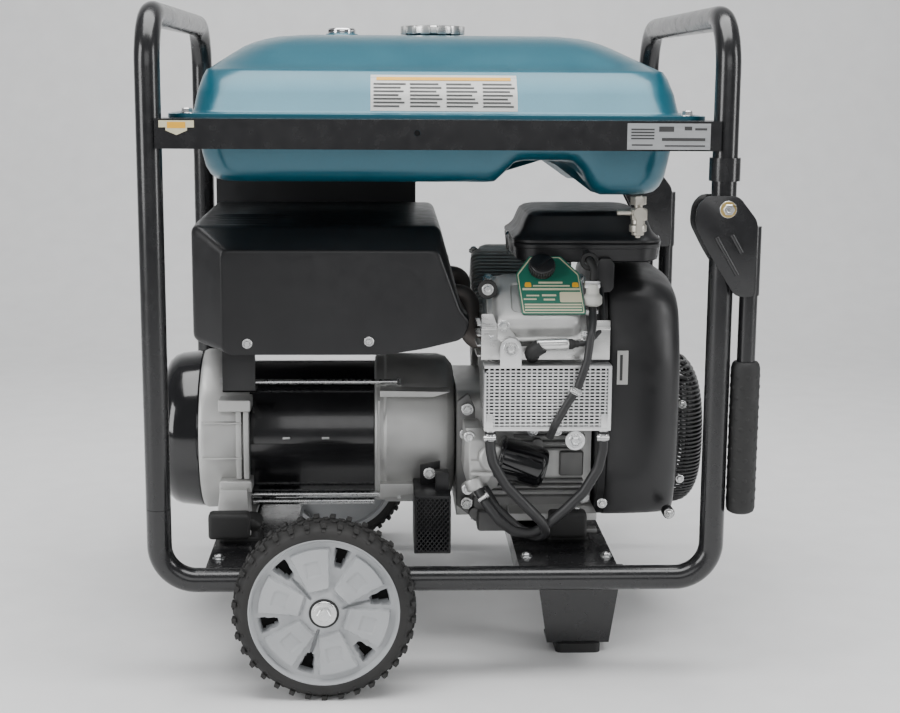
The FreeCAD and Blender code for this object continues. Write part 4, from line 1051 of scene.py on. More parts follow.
# %% Tyre with its tread blocks
def tyre(name, side):
    """Round-shouldered carcass."""
    inner = abs(TYRE_HIGH.y) / MM
    outer = abs(TYRE_LOW.y) / MM
    base = TYRE_R - 3.4
    profile = [(RIM_R - 1.4, inner + 2), (RIM_R + 6, inner), (base - 6, inner + 2),
               (base - 1.5, inner + 8),
               (base, inner + 15), (base, outer - 15), (base - 1.5, outer - 8), (base - 6, outer - 2.5),
               (RIM_R + 8, outer), (RIM_R + 2, outer + 0.6), (RIM_R - 1.4, outer - 0.5)]
    return turned(name, profile, Vector((WHEEL.x, 0, WHEEL.z)), (0, side, 0), 120, 0.8)


def tread(name, side):
    """Blocks copied round the tyre: shoulders, middle pairs and small lugs."""
    bm = bmesh.new()
    outline = [Vector((x * MM, y * MM, -3 * MM)) for x,
               y in ((-4.2, -9), (3.0, -9), (4.6, 4), (2.4, 9), (-3.4, 9))]
    add_plate(bm, outline, upward(6.3))
    seed = finish_mesh("tread_seed", bm, 0.8, 40, 1)
    spots, turns, sizes = [], [], []
    middle = (abs(TYRE_LOW.y) + abs(TYRE_HIGH.y)) / 2 / MM
    base = TYRE_R - 3.6
    rows = ((-17.5, 34, 0.0, (1.0, 0.95, 1), 0), (17.5, 34, 0.5, (1.0, -0.95, 1), 0),
            (-4.5, 34, 0.35, (0.9, 0.5, 1), 24), (6.0, 34, 0.85, (0.9, 0.5, 1), -24))
    for offset, count, phase, size, skew in rows:
        for k in range(count):
            angle = 2 * math.pi * (k + phase) / count
            way = Vector((math.cos(angle), 0, math.sin(angle)))
            along = Vector((0, side, 0))
            across = along.cross(way)
            basis = Matrix((across, along, way)).transposed() @ Matrix.Rotation(math.radians(skew), 3,
                                                                                "Z")
            spots.append(Vector((WHEEL.x, side * (middle + offset) * MM, WHEEL.z)) + way * base * MM)
            turns.append(tuple(basis.to_euler()))
            sizes.append(size)
    return copies(name, seed, spots, turns, "tyre", sizes)


def shoulder_lugs(name, side):
    """Side lugs that run down from the shoulder blocks over the edge of the tyre."""
    bm = bmesh.new()
    outline = [Vector((x * MM, y * MM, -2 * MM)) for x,
               y in ((-3.6, -6), (3.6, -6), (2.4, 6), (-2.4, 6))]
    add_plate(bm, outline, upward(3.0))
    seed = finish_mesh("lug_seed", bm, 0.6, 40, 1)
    spots, turns = [], []
    outer = abs(TYRE_LOW.y) / MM
    inner = abs(TYRE_HIGH.y) / MM
    for face, direction in ((outer - 4.5, side), (inner + 4.5, -side)):
        for k in range(34):
            angle = 2 * math.pi * (k + 0.5) / 34
            way = Vector((math.cos(angle), 0, math.sin(angle)))
            normal = (way * 0.75 + Vector((0, direction * 0.66, 0))).normalized()
            across = Vector((-way.z, 0, way.x))
            up = normal.cross(across)
            basis = Matrix((across, up, normal)).transposed()
            spots.append(Vector((WHEEL.x, side * face * MM, WHEEL.z)) + way * (TYRE_R - 8.2) * MM)
            turns.append(tuple(basis.to_euler()))
    return copies(name, seed, spots, turns, "tyre")


for side, label in SIDES:
    body_name = label + "_wheel"
    stand_in(rim_face(label + "_rim_face", side), None, "wheel_rim_" + label, body_name)
    stand_in(tyre(label + "_tyre_body", side), "tyre", "wheel_tyre_" + label, body_name)
    dress(tread(label + "_tread", side), None, body_name)
    dress(shoulder_lugs(label + "_shoulder_lugs", side), None, body_name)
nut_spots = [Vector((WHEEL.x, side * (WHEEL_FACE + 0.8) * MM, WHEEL.z)) for side in (-1, 1)]
axle_nuts = bolts("axle_nut_heads", nut_spots, [NEAR, FAR], 17, head=8)
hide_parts("axle_nuts")
for side, label in SIDES:
    hub_end = at((WHEEL.x - MID_X) / MM, side * WHEEL_FACE, WHEEL.z / MM)
    dress(turned("hub_washer_" + label, [(9, -1), (17, -1), (17.4, 0.6), (16, 1.6), (9, 1.6)], hub_end,
                 (0, side, 0), 48),
          "zinc")
    dress(turned("hub_seal_" + label, [(17, -2), (20.5, -2), (20.5, -0.4), (17, 0.2)], hub_end,
                 (0, side, 0), 48), "rubber")
print("wheels: rim radius %.0f, tyre radius %.0f mm" % (RIM_R, TYRE_R))

# %% [markdown]
# ## Alternator
# Turned on the crankshaft line: a glossy end cover, two cast brackets and the
# dark stator wrap between them, clamped by four long studs.

# %% Alternator shells
SHAFT_Z = SHAFT.z / MM
AXIS_POINT = Vector((MID_X, 0, SHAFT.z))
COVER_LEFT, COVER_RIGHT = span("alternator_end_cover")[:2]
STATOR_LOW, STATOR_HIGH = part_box("alternator_stator")
STATOR_LEFT, STATOR_RIGHT = span("alternator_stator")[:2]
STATOR_R = (STATOR_HIGH.z - STATOR_LOW.z) / 2 / MM


def on_shaft(name, profile, steps=96, bevel=1.0):
    """Turned on the crankshaft line: profile is (radius, x)."""
    return turned(name, profile, AXIS_POINT, (1, 0, 0), steps, bevel)


end_cover = on_shaft("end_cover_shell", [(0, COVER_LEFT), (88, COVER_LEFT), (98, COVER_LEFT + 2),
                                         (108, COVER_LEFT + 7), (115, COVER_LEFT + 15),
                                         (118.5, COVER_LEFT + 25), (120, COVER_LEFT + 40),
                                         (122, COVER_RIGHT - 3), (122, COVER_RIGHT), (0, COVER_RIGHT)],
                                         120, 0.6)
stand_in(end_cover, "gloss_black", "alternator_end_cover")


# %% [markdown]
# A turned bell carries lugs for the studs and stands on a wide foot.

# %% Rear bracket with its lugs, ribs and foot
FOOT_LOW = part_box("alternator_rear_bracket")[0]


def rear_bracket():
    foot_z = FOOT_LOW.z / MM
    parts = [on_shaft("rear_bell", [(60, COVER_RIGHT + 0.5), (122, COVER_RIGHT + 0.5),
                                    (124, COVER_RIGHT + 5),
                                    (124, COVER_RIGHT + 12), (122, STATOR_LEFT - 24),
                                    (117, STATOR_LEFT - 8),
                                    (112, STATOR_LEFT), (60, STATOR_LEFT)], 96, 1.2)]
    for dz in (62, -62):
        parts.append(block("lug", at(STATOR_LEFT - 42, -134, SHAFT_Z + dz - 9),
                           at(STATOR_LEFT + 6, -86, SHAFT_Z + dz + 9), 2.5))
        parts.append(block("lug_far", at(STATOR_LEFT - 42, 86, SHAFT_Z + dz - 9),
                           at(STATOR_LEFT + 6, 134, SHAFT_Z + dz + 9), 2.5))
    for dz in (34, -20):
        parts.append(block("rib", at(COVER_RIGHT + 6, -126, SHAFT_Z + dz - 1.4),
                           at(STATOR_LEFT - 8, -106, SHAFT_Z + dz + 1.4), 0.8, 2))
    for dx in (-14, -3):
        parts.append(block("post", at(STATOR_LEFT + dx - 3, -124, SHAFT_Z - 52),
                           at(STATOR_LEFT + dx + 5, -104, SHAFT_Z + 54), 1.2, 2))
    for side in (-1, 1):
        leg = [at(STATOR_LEFT - 46, side * 150, foot_z + 8), at(STATOR_LEFT + 3, side * 150, foot_z + 8),
               at(STATOR_LEFT + 1, side * 150, SHAFT_Z - 62),
               at(STATOR_LEFT - 40, side * 150, SHAFT_Z - 62)]
        parts.append(plate("leg", leg, inward(-side * 60), 2.0))
    parts.append(block("foot", at(STATOR_LEFT - 50, -178, foot_z), at(STATOR_LEFT + 8, 178, foot_z + 9),
                       2))
    paint_all(parts, "cast")
    return join("rear_bracket_casting", parts)


stand_in(rear_bracket(), None, "alternator_rear_bracket")


# %% [markdown]
# The wrap is a rolled sheet. A second layer over the lower half ends in a seam.

# %% Stator wrap with its lap seam, slots and bright edge
wrap = on_shaft("stator_wrap", [(70, STATOR_LEFT + 0.5), (STATOR_R + 1, STATOR_LEFT + 0.5),
                                (STATOR_R + 1, STATOR_RIGHT - 0.5), (70, STATOR_RIGHT - 0.5)], 120, 0.5)
stand_in(wrap, "enamel", "alternator_stator")


def wrap_lap():
    """Second layer of the wrap over the lower half, ending in a seam."""
    bm = bmesh.new()
    inside, outside = (STATOR_R + 0.8) * MM, (STATOR_R + 2.2) * MM
    sections = []
    for k in range(41):
        angle = math.radians(181 + 132 * k / 40)
        way = Vector((0, math.cos(angle), math.sin(angle)))
        ring = [AXIS_POINT + way * r + Vector((x * MM, 0, 0))
                for x, r in ((STATOR_LEFT + 2, inside), (STATOR_RIGHT - 1, inside),
                             (STATOR_RIGHT - 1, outside), (STATOR_LEFT + 2, outside))]
        sections.append([bm.verts.new(p) for p in ring])
    skin(bm, sections)
    bm.faces.new(sections[0])
    bm.faces.new(list(reversed(sections[-1])))
    return finish_mesh("stator_lap", bm, 0.3, 40, 1)


dress(wrap_lap(), "enamel")
for i, fraction in enumerate((0.30, 0.61)):
    x = STATOR_LEFT + (STATOR_RIGHT - STATOR_LEFT) * fraction
    dress(block("stator_slot_%d" % (i + 1), at(x - 5.5, -STATOR_R - 1.8, SHAFT_Z + 5),
                at(x + 5.5, -STATOR_R + 2, SHAFT_Z + 8.5), 0.6, 2), "machined")
dress(tube("stator_lower_stud", [at(STATOR_LEFT + 1, -52, SHAFT_Z - STATOR_R - 1),
                                 at(STATOR_RIGHT - 1, -52, SHAFT_Z - STATOR_R - 1)], 5.0, 1, 16), "zinc")


# %% [markdown]
# The bell swells out to meet the engine and has two fins and a parting seam.

# %% Front bracket: a smooth cast bell with ribs
FRONT_RIGHT = span("alternator_front_bracket")[1]


def front_bracket():
    parts = [on_shaft("front_bell", [(70, STATOR_RIGHT), (STATOR_R + 7, STATOR_RIGHT),
                                     (STATOR_R + 9, STATOR_RIGHT + 3),
                                     (STATOR_R + 9, STATOR_RIGHT + 14),
                                     (STATOR_R + 12, STATOR_RIGHT + 18),
                                     (STATOR_R + 12, FRONT_RIGHT - 26), (STATOR_R + 8, FRONT_RIGHT - 12),
                                     (STATOR_R - 4, FRONT_RIGHT - 2), (STATOR_R - 14, FRONT_RIGHT),
                                     (70, FRONT_RIGHT)], 120, 1.2)]
    for dz in (72, -62):
        fin = [at(STATOR_RIGHT + 8, -70, SHAFT_Z + dz), at(FRONT_RIGHT - 34, -70, SHAFT_Z + dz),
               at(FRONT_RIGHT - 8, -70, SHAFT_Z + dz + (8 if dz > 0 else -8)),
               at(STATOR_RIGHT + 8, -70, SHAFT_Z + dz + (10 if dz > 0 else -22))]
        parts.append(plate("fin", fin, inward(-48), 1.5))
    seam = [at(STATOR_RIGHT + 5, -STATOR_R - 9.5, SHAFT_Z - 56),
            at(STATOR_RIGHT + 8, -STATOR_R - 9.5, SHAFT_Z - 56),
            at(STATOR_RIGHT + 8, -STATOR_R - 9.5, SHAFT_Z + 66),
            at(STATOR_RIGHT + 5, -STATOR_R - 9.5, SHAFT_Z + 66)]
    parts.append(plate("seam", seam, inward(3), 0.4))
    paint_all(parts, "cast")
    return join("front_bracket_casting", parts)


stand_in(front_bracket(), None, "alternator_front_bracket")
print("alternator from x %.0f to %.0f mm" % (COVER_LEFT, FRONT_RIGHT))

# %% [markdown]
# ## Silencer shield
# One pressed sheet: a flat face, tight bends, sloping shoulders to the left and
# top, and a turned-in edge low down on the right.

# %% Silencer shield
SHIELD_LEFT, SHIELD_RIGHT, SHIELD_FRONT, SHIELD_BACK, shield_foot, SHIELD_TOP = span("muffler_shield")
SHIELD_BOTTOM = shield_foot + 3


def shield_ring(y, left, top, right, drop):
    """Outline of the shield at one depth, corner by corner with rounding."""
    corners = [at(left, y, SHIELD_BOTTOM + drop), at(-72, y, SHIELD_BOTTOM),
               at(-20, y, SHIELD_BOTTOM + 8),
               at(38, y, SHIELD_BOTTOM + 22), at(right, y, SHIELD_BOTTOM + 46),
               at(right - 14, y, SHIELD_BOTTOM + 62), at(right - 46, y, top), at(left, y, top)]
    return rounded_outline(corners, 12, 6)


def silencer_shield():
    """Flat front, tight bends, flat chamfers to the left and top, then straight back."""
    rings = [shield_ring(SHIELD_FRONT + 0.4, SHIELD_LEFT + 58, 588, SHIELD_RIGHT - 16, 0)]
    for k in range(7):
        t = math.radians(48 * k / 6)
        out, back = 7 * math.sin(t), 7 * (1 - math.cos(t))
        rings.append(shield_ring(SHIELD_FRONT + 0.5 + back, SHIELD_LEFT + 50 - out, 594 + out,
                                 SHIELD_RIGHT - 9 + out,
                                 out * 0.4))
    for k in range(7):
        t = math.radians(48 + 42 * k / 6)
        out, back = math.sin(t) - math.sin(math.radians(48)), math.cos(math.radians(48)) - math.cos(t)
        rings.append(shield_ring(SHIELD_FRONT + 36 + 22 * back, SHIELD_LEFT + 9 - 30 * out,
                                 SHIELD_TOP - 10 + 18 * out,
                                 SHIELD_RIGHT - 2 + 6 * out, 10 + 10 * out))
    rings.append(shield_ring(SHIELD_FRONT + 110, SHIELD_LEFT, SHIELD_TOP - 4, SHIELD_RIGHT, 13))
    rings.append(shield_ring(SHIELD_BACK, SHIELD_LEFT, SHIELD_TOP, SHIELD_RIGHT, 13))
    bm = bmesh.new()
    add_loft(bm, rings)
    return finish_mesh("silencer_shield_sheet", bm, 0, 55)


stand_in(silencer_shield(), "sheet", "muffler_shield")
shield_screws = [at(-266, SHIELD_FRONT - 0.2, 466), at(-95, SHIELD_FRONT - 0.2, 469)]
bolts("shield_screws", shield_screws, NEAR, 8.5, head=4)


def embossed_ridges():
    """Low ridges pressed into the top of the shield."""
    bm = bmesh.new()
    add_turned(bm, [(0, 1.6), (3, 1.2), (5, -0.8)], Vector(), UP, 16)
    seed = finish_mesh("ridge_seed", bm, 0, 80)
    spots = [at(-270, SHIELD_FRONT + 70 + 26 * k, SHIELD_TOP - 6 + 0.8 * k) for k in range(5)]
    return copies("shield_ridges", seed, spots, None, "sheet", [(14, 1.0, 1.4)] * 5)


dress(embossed_ridges(), None)
dress(plate("shield_stay", [at(-310, -158, 380), at(-262, -158, 380), at(-262, -158, 455),
                            at(-310, -158, 455)],
            inward(3), 0.6), "sheet")
dress(plate("shield_stay_foot", [at(-310, -158, 380), at(-262, -158, 380), at(-262, -120, 380),
                                 at(-310, -120, 380)], upward(3), 0.6), "sheet")
bolts("stay_screw", [at(-288, -140, 383)], UP, 9)
print("shield from x %.0f to %.0f mm" % (SHIELD_LEFT, SHIELD_RIGHT))

# %% [markdown]
# ## Engine
# The two cylinders lean away from the crankshaft line. Pieces on them are placed
# by their distance up the slope and along the cylinder.

# %% Places on a leaning cylinder
CAP_JOINT = [j for j in frame["joints"] if j["name"] == "oil_cap_turns"][0]
LEAN = math.atan2(-CAP_JOINT["axis"][1], CAP_JOINT["axis"][2])
COVER_X0, COVER_X1, COVER_NEAR = span("rocker_covers")[:3]
COVER_HALF = 52.0
COVER_DEEP = 30.0
COVER_TOP = (-COVER_NEAR - COVER_HALF * math.cos(LEAN)) / math.sin(LEAN)
HEAD_TOP = COVER_TOP - COVER_DEEP


def leaned(x, across, height, side=-1):
    """Point by x, distance up the slope and distance from the crankshaft line."""
    y = across * math.cos(LEAN) - height * math.sin(LEAN)
    return at(x, -side * y, SHAFT_Z + across * math.sin(LEAN) + height * math.cos(LEAN))


def out_of_cylinder(side=-1):
    return (0, side * math.sin(LEAN), math.cos(LEAN))


print("cylinders lean %.0f degrees" % math.degrees(LEAN))


# %% [markdown]
# Each cover is a loft of rounded rings along its leaning cylinder.

# %% Rocker covers
def cover_ring(inset, height, side):
    corners = [leaned(x, across, height, side)
               for x, across in ((COVER_X0 + inset, -COVER_HALF + inset),
                                 (COVER_X1 - inset, -COVER_HALF + inset),
                                 (COVER_X1 - inset, COVER_HALF - inset),
                                 (COVER_X0 + inset, COVER_HALF - inset))]
    return rounded_outline(corners, max(18 - inset * 0.3, 8), 7)


def rocker_cover(side):
    """Cast cover: bolting flange, drafted wall, rounded shoulder and a recessed top."""
    bm = bmesh.new()
    steps = ((-5, 0.2), (-6, 2), (-6, 5), (-4.5, 6.5), (1.5, 7), (3, 9), (4, 18), (6, 23), (9, 26.5),
             (13, 28.5),
             (18, 29.4), (26, 29.6), (28, 27.6))
    add_loft(bm, [cover_ring(inset, HEAD_TOP + h, side) for inset, h in steps])
    name = "near" if side < 0 else "far"
    return finish_mesh("rocker_cover_" + name, bm, 0, 32)


covers = [rocker_cover(-1), rocker_cover(1)]
CAP_UP = Vector(CAP_JOINT["pos_m"])
neck_foot = CAP_UP - Vector(out_of_cylinder()) * 9 * MM
neck = turned("filler_neck", [(0, -4), (18, -4), (18, 1), (15, 3), (15, 8.2), (0, 8.2)], neck_foot,
              out_of_cylinder(), 40)
paint_all(covers + [neck], "cast")
stand_in(join("rocker_cover_pair", covers + [neck]), None, "rocker_covers")
for side, label in SIDES:
    spots = [leaned(x, across, HEAD_TOP + 5, side) for x in (COVER_X0 - 2,
                                                             COVER_X1 + 2) for across in (-50, 52)]
    bolts("cover_bolts_" + label, spots, out_of_cylinder(side), 10, head=6)


# %% [markdown]
# Thirty small ribs are copied round the knob so that it can be gripped.

# %% Oil filler knob: ribbed rim with a thumb bar across it
CAP_CENTRE = centre_of("oil_filler_cap")


def filler_knob():
    axis = out_of_cylinder()
    bm = bmesh.new()
    add_turned(bm, [(0, -10.4), (12, -10.4), (12, -7), (17.6, -7), (17.9, -5.5), (17.9, 6), (17.2, 7.6),
                    (16, 8.4),
                    (0, 8.8)], CAP_CENTRE, axis, 60)
    knob = finish_mesh("filler_knob", bm, 0, 40)
    place = turn_matrix(CAP_CENTRE, axis) @ Matrix.Rotation(math.radians(42), 4, "Z")
    bar_outline = [place @ Vector((x * MM, y * MM, 8 * MM)) for x,
                   y in ((-15.5, -3.2), (15.5, -3.2), (15.5, 3.2),
                                                                      (-15.5, 3.2))]
    bar = plate("thumb_bar", bar_outline, Vector(axis) * 2.3 * MM, 0.8)
    paint_all((knob, bar), "housing")
    return join("filler_knob_whole", [knob, bar])


def knob_ribs():
    bm = bmesh.new()
    add_turned(bm, [(0, -5), (1.1, -4.6), (1.1, 5.2), (0, 5.8)], Vector(), UP, 8)
    seed = finish_mesh("rib_seed", bm, 0, 60)
    place = turn_matrix(CAP_CENTRE, out_of_cylinder())
    turn = tuple(place.to_euler())
    spots = [place @ Vector((17.9 * MM * math.cos(2 * math.pi * k / 30),
                             17.9 * MM * math.sin(2 * math.pi * k / 30), 0))
             for k in range(30)]
    return copies("filler_knob_ribs", seed, spots, [turn] * 30, "housing")


dress(filler_knob(), None, "filler_cap", ["oil_filler_cap"])
dress(knob_ribs(), None, "filler_cap")


# %% [markdown]
# The plate stands on the rocker cover and follows its slope.

# %% Oil reminder plate, with plain bars in place of words
PLATE_FOOT = leaned(0, -31, COVER_TOP + 1)
PLATE_UP = Vector((0, 0.637, 0.771))
PLATE_OUT = Vector((0, -0.771, 0.637))


def on_plate(x, up, level):
    """Point on the reminder plate: sideways place, distance up it and height off it."""
    foot = at(x, 0, 0)
    return Vector((foot.x, PLATE_FOOT.y, PLATE_FOOT.z)) + PLATE_UP * up * MM + PLATE_OUT * level * MM


def plate_piece(name, outline, paint, level, thick):
    points = rounded_outline([on_plate(x, up, level) for x, up in outline], 2.5, 4)
    return dress(plate(name, points, PLATE_OUT * thick * MM, 0), paint)


def shrink(outline, amount):
    middle_x = sum(x for x, y in outline) / len(outline)
    middle_y = sum(y for x, y in outline) / len(outline)
    return [(x - math.copysign(amount, x - middle_x), y - math.copysign(amount, y - middle_y)) for x,
            y in outline]


PLATE_OUTLINE = [(119, 0), (208, 0), (203, 67), (178, 96), (133, 96), (113, 67)]
plate_piece("oil_plate_edge", PLATE_OUTLINE, "green", 0, 1.2)
plate_piece("oil_plate_border", shrink(PLATE_OUTLINE, 1.6), "cream", 1.2, 0.25)
plate_piece("oil_plate_field", shrink(PLATE_OUTLINE, 3.0), "green", 1.45, 0.25)


def bar_rows():
    """Bars (left, right, height up the plate, thickness) in place of lines of words."""
    bars = [(144, 178, 50, 3), (136, 188, 45, 2.4), (121, 203, 39, 3.4), (148, 168, 29, 3),
            (150, 166, 22, 3),
            (123, 203, 14, 2.6), (123, 203, 9.5, 2.6), (123, 203, 5, 2.6), (122, 140, 23, 2.2),
            (126, 144, 29, 2.2)]
    pieces = []
    for x0, x1, up, tall in bars:
        outline = [on_plate(x, u, 1.7) for x, u in ((x0, up), (x1, up), (x1, up + tall),
                                                    (x0, up + tall))]
        pieces.append(plate("bar", outline, PLATE_OUT * 0.15 * MM, 0))
    paint_all(pieces, "cream")
    return join("oil_plate_bars", pieces)


dress(bar_rows(), None)
plate_piece("oil_plate_box", [(173, 19), (204, 19), (204, 36), (173, 36)], "cream", 1.7, 0.2)
for i, x in enumerate((129, 196)):
    plate_piece("oil_plate_mark_%d" % (i + 1), [(x - 5, 44), (x + 5, 44), (x + 4, 52), (x - 4, 52)],
                "amber", 1.7, 0.2)


# %% [markdown]
# A stepped sheet guides air past the cylinder. Fin tips show beside it.

# %% Cylinder shroud sheet on the near side, stepped, with its bolts
SHROUD_Y = -264
HEAD_BOLT_X, HEAD_BOLT_Z = 72, 543


def shroud():
    sheet = [at(62, SHROUD_Y, 447), at(62, SHROUD_Y, 512), at(78, SHROUD_Y + 3, 512),
             at(96, SHROUD_Y + 3, 466),
             at(212, SHROUD_Y + 3, 466), at(218, SHROUD_Y + 3, 503), at(243, SHROUD_Y, 503),
             at(243, SHROUD_Y, 447)]
    sheet = [Vector((p.x, SHROUD_Y * MM, p.z)) for p in sheet]
    flat = plate("shroud_sheet", sheet, inward(2.4), 0.8)
    lips = [block("lip", at(62, SHROUD_Y - 3, 490), at(84, SHROUD_Y + 1, 493.5), 0.8, 2),
            block("lip", at(218, SHROUD_Y - 3, 490), at(243, SHROUD_Y + 1, 493.5), 0.8, 2),
            plate("ear_arm", [at(84, SHROUD_Y - 8, 500), at(96, SHROUD_Y - 8, 500),
                              at(118, SHROUD_Y - 8, 470),
                              at(112, SHROUD_Y - 8, 450), at(98, SHROUD_Y - 8, 468),
                              at(84, SHROUD_Y - 8, 478)], inward(8), 1.2)]
    paint_all([flat] + lips, "machined")
    return join("cylinder_shroud", [flat] + lips)


dress(shroud(), None)
bolts("shroud_bolts", [at(93, SHROUD_Y - 8, 496), at(HEAD_BOLT_X, SHROUD_Y + 26, HEAD_BOLT_Z)], NEAR, 10,
      head=5)


def head_washer():
    return turned("head_washer", [(5, 0), (14, 0), (14, 2.5), (11, 4), (5, 4)],
                  at(HEAD_BOLT_X, SHROUD_Y + 30, HEAD_BOLT_Z), NEAR, 40)


dress(head_washer(), "rubber")


def edge_fins():
    """Fin tips that show at the left edge of the shroud."""
    bm = bmesh.new()
    add_plate(bm, [Vector((0, -30 * MM, -1.2 * MM)), Vector((7 * MM, -30 * MM, -1.2 * MM)),
                   Vector((7 * MM, 30 * MM, -1.2 * MM)), Vector((0, 30 * MM, -1.2 * MM))], upward(2.4))
    seed = finish_mesh("fin_seed", bm, 0.6, 40, 1)
    spots = [at(56.5, SHROUD_Y + 34, 452 + 14.5 * k) for k in range(4)]
    return copies("shroud_fins", seed, spots, None, "machined")


dress(edge_fins(), None)


# %% [markdown]
# The cap bends out from the cylinder and its lead runs up behind the joint.

# %% Spark plug cap and lead
cap_bend = tube("plug_boot", [at(134, -256, 452), at(134, -276, 462), at(146, -279, 470)], 11, 9, 24, 8)
dress(cap_bend, "rubber")
sleeve = turned("plug_sleeve", [(0, 0), (7.6, 0), (8.4, 2), (8.6, 40), (7.8, 44), (6, 46), (0, 46)],
                at(138, -279, 471), (1, 0, 0.03), 28)
dress(sleeve, "machined")
dress(turned("lead_boot", [(0, 0), (7.4, 0), (7.4, 5), (5, 9), (5, 14), (0, 14)], at(183, -279, 472),
             (1, 0, 0.02), 24),
      "rubber")
dress(tube("plug_lead", [at(194, -279, 472), at(212, -278, 474), at(234, -256, 492), at(238, -200, 540)],
           3.4, 14, 14, 8),
      "hose")


# %% [markdown]
# A frame with an ear and an eye holds two crossed sets of copied bars.

# %% Oil cooler
COOLER_X0, COOLER_X1, COOLER_FRONT, _, _, COOLER_TOP = span("oil_cooler")
COOLER_BASE = COOLER_TOP - 93
COOLER_BACK = COOLER_FRONT + 32
EAR_X, EAR_Z, EAR_R = 102.5, 465, 15
EYE_X, EYE_Z = 195, 334


def cooler_frame():
    parts = [block("top", at(COOLER_X0, COOLER_FRONT, COOLER_TOP - 4),
                   at(COOLER_X1, COOLER_BACK, COOLER_TOP), 1, 2),
             block("base", at(COOLER_X0, COOLER_FRONT, COOLER_BASE),
                   at(COOLER_X1, COOLER_BACK, COOLER_BASE + 6), 1, 2),
             block("left", at(COOLER_X0, COOLER_FRONT - 0.4, COOLER_BASE + 2),
                   at(COOLER_X0 + 3, COOLER_BACK, COOLER_TOP - 10), 0.8, 2),
             block("right", at(COOLER_X1 - 5, COOLER_FRONT - 0.4, COOLER_BASE + 2),
                   at(COOLER_X1, COOLER_BACK, COOLER_TOP - 2), 0.8, 2),
             block("tab", at(COOLER_X0 + 3, COOLER_FRONT - 0.6, COOLER_BASE + 4),
                   at(COOLER_X0 + 13, COOLER_FRONT + 6, COOLER_BASE + 22), 1, 2),
             block("tab", at(COOLER_X1 - 14, COOLER_FRONT - 0.6, COOLER_BASE + 4),
                   at(COOLER_X1 - 4, COOLER_FRONT + 6, COOLER_BASE + 24), 1, 2),
             block("stay", at(150, COOLER_BACK - 2, COOLER_TOP - 4),
                   at(180, COOLER_BACK + 22, COOLER_TOP), 0.8, 2)]
    ear = [at(EAR_X - EAR_R, COOLER_FRONT - 2, COOLER_TOP - 2),
           at(EAR_X + EAR_R, COOLER_FRONT - 2, COOLER_TOP - 2)]
    ear += [at(EAR_X + EAR_R * math.cos(math.radians(a)), COOLER_FRONT - 2,
               EAR_Z + EAR_R * math.sin(math.radians(a)))
            for a in range(0, 181, 12)]
    parts.append(plate("ear", ear, inward(4), 0.8))
    eye = turned("eye", [(7, 0), (13, 0), (14, 1), (14, 4), (13, 5), (7, 5)],
                 at(EYE_X, COOLER_FRONT + 3, EYE_Z), NEAR, 40)
    parts.append(eye)
    for x in (COOLER_X0 + 9.5, COOLER_X1 - 9.5):
        parts.append(turned("barb", [(0, 0), (7, 0), (7, 12), (5.8, 14), (6.4, 18), (5.4, 20), (5.4, 30),
                                     (0, 30)],
                            at(x, COOLER_FRONT + 8, COOLER_BASE + 1), (0, 0, -1), 24))
    paint_all(parts, "cooler")
    return join("cooler_frame", parts)


stand_in(cooler_frame(), None, "oil_cooler")


def bar_seed(size_x, size_y, size_z):
    bm = bmesh.new()
    add_box(bm, Vector((-size_x, -size_y, -size_z)) * MM * 0.5,
            Vector((size_x, size_y, size_z)) * MM * 0.5)
    return finish_mesh("bar_seed", bm, 0.4, 40, 1)


COOLER_MID_X = (COOLER_X0 + COOLER_X1) / 2
COOLER_MID_Z = (COOLER_TOP + COOLER_BASE) / 2
row_spots = [at(COOLER_MID_X - 1, COOLER_FRONT + 3, COOLER_BASE + 8.6 + 4.75 * k) for k in range(17)]
dress(copies("cooler_rows", bar_seed(COOLER_X1 - COOLER_X0 - 8, 2.4, 2.5), row_spots, None, "cooler"),
      None)
column_spots = [at(COOLER_X0 + 7 + 7.45 * k, COOLER_FRONT + 3.6, COOLER_MID_Z) for k in range(23)]
dress(copies("cooler_columns", bar_seed(2.4, 2.4, 84), column_spots, None, "cooler"), None)
# Black block behind the bars: painted shade between them.
dress(block("cooler_core", at(COOLER_X0 + 2, COOLER_FRONT + 7, COOLER_BASE + 3),
            at(COOLER_X1 - 4, COOLER_BACK - 2,
                                                                                 COOLER_TOP - 3), 1, 2),
                                                                                 "dark")
bolts("cooler_bolts", [at(EAR_X, COOLER_FRONT - 2, EAR_Z), at(EYE_X, COOLER_FRONT - 2, EYE_Z)], NEAR, 12,
      head=6)
dress(turned("ear_washer", [(6, 0), (10.5, 0), (11.2, 1), (10.5, 1.8), (6, 1.8)],
             at(EAR_X, COOLER_FRONT - 2, EAR_Z),
             NEAR, 40), "zinc")


# %% [markdown]
# The filter can leans out of an adapter that also holds the pressure switch.

# %% Oil filter on its cast adapter
CAN_START = Vector((92, -186, 290))
CAN_WAY = Vector((0.955, -0.03, -0.275)).normalized()


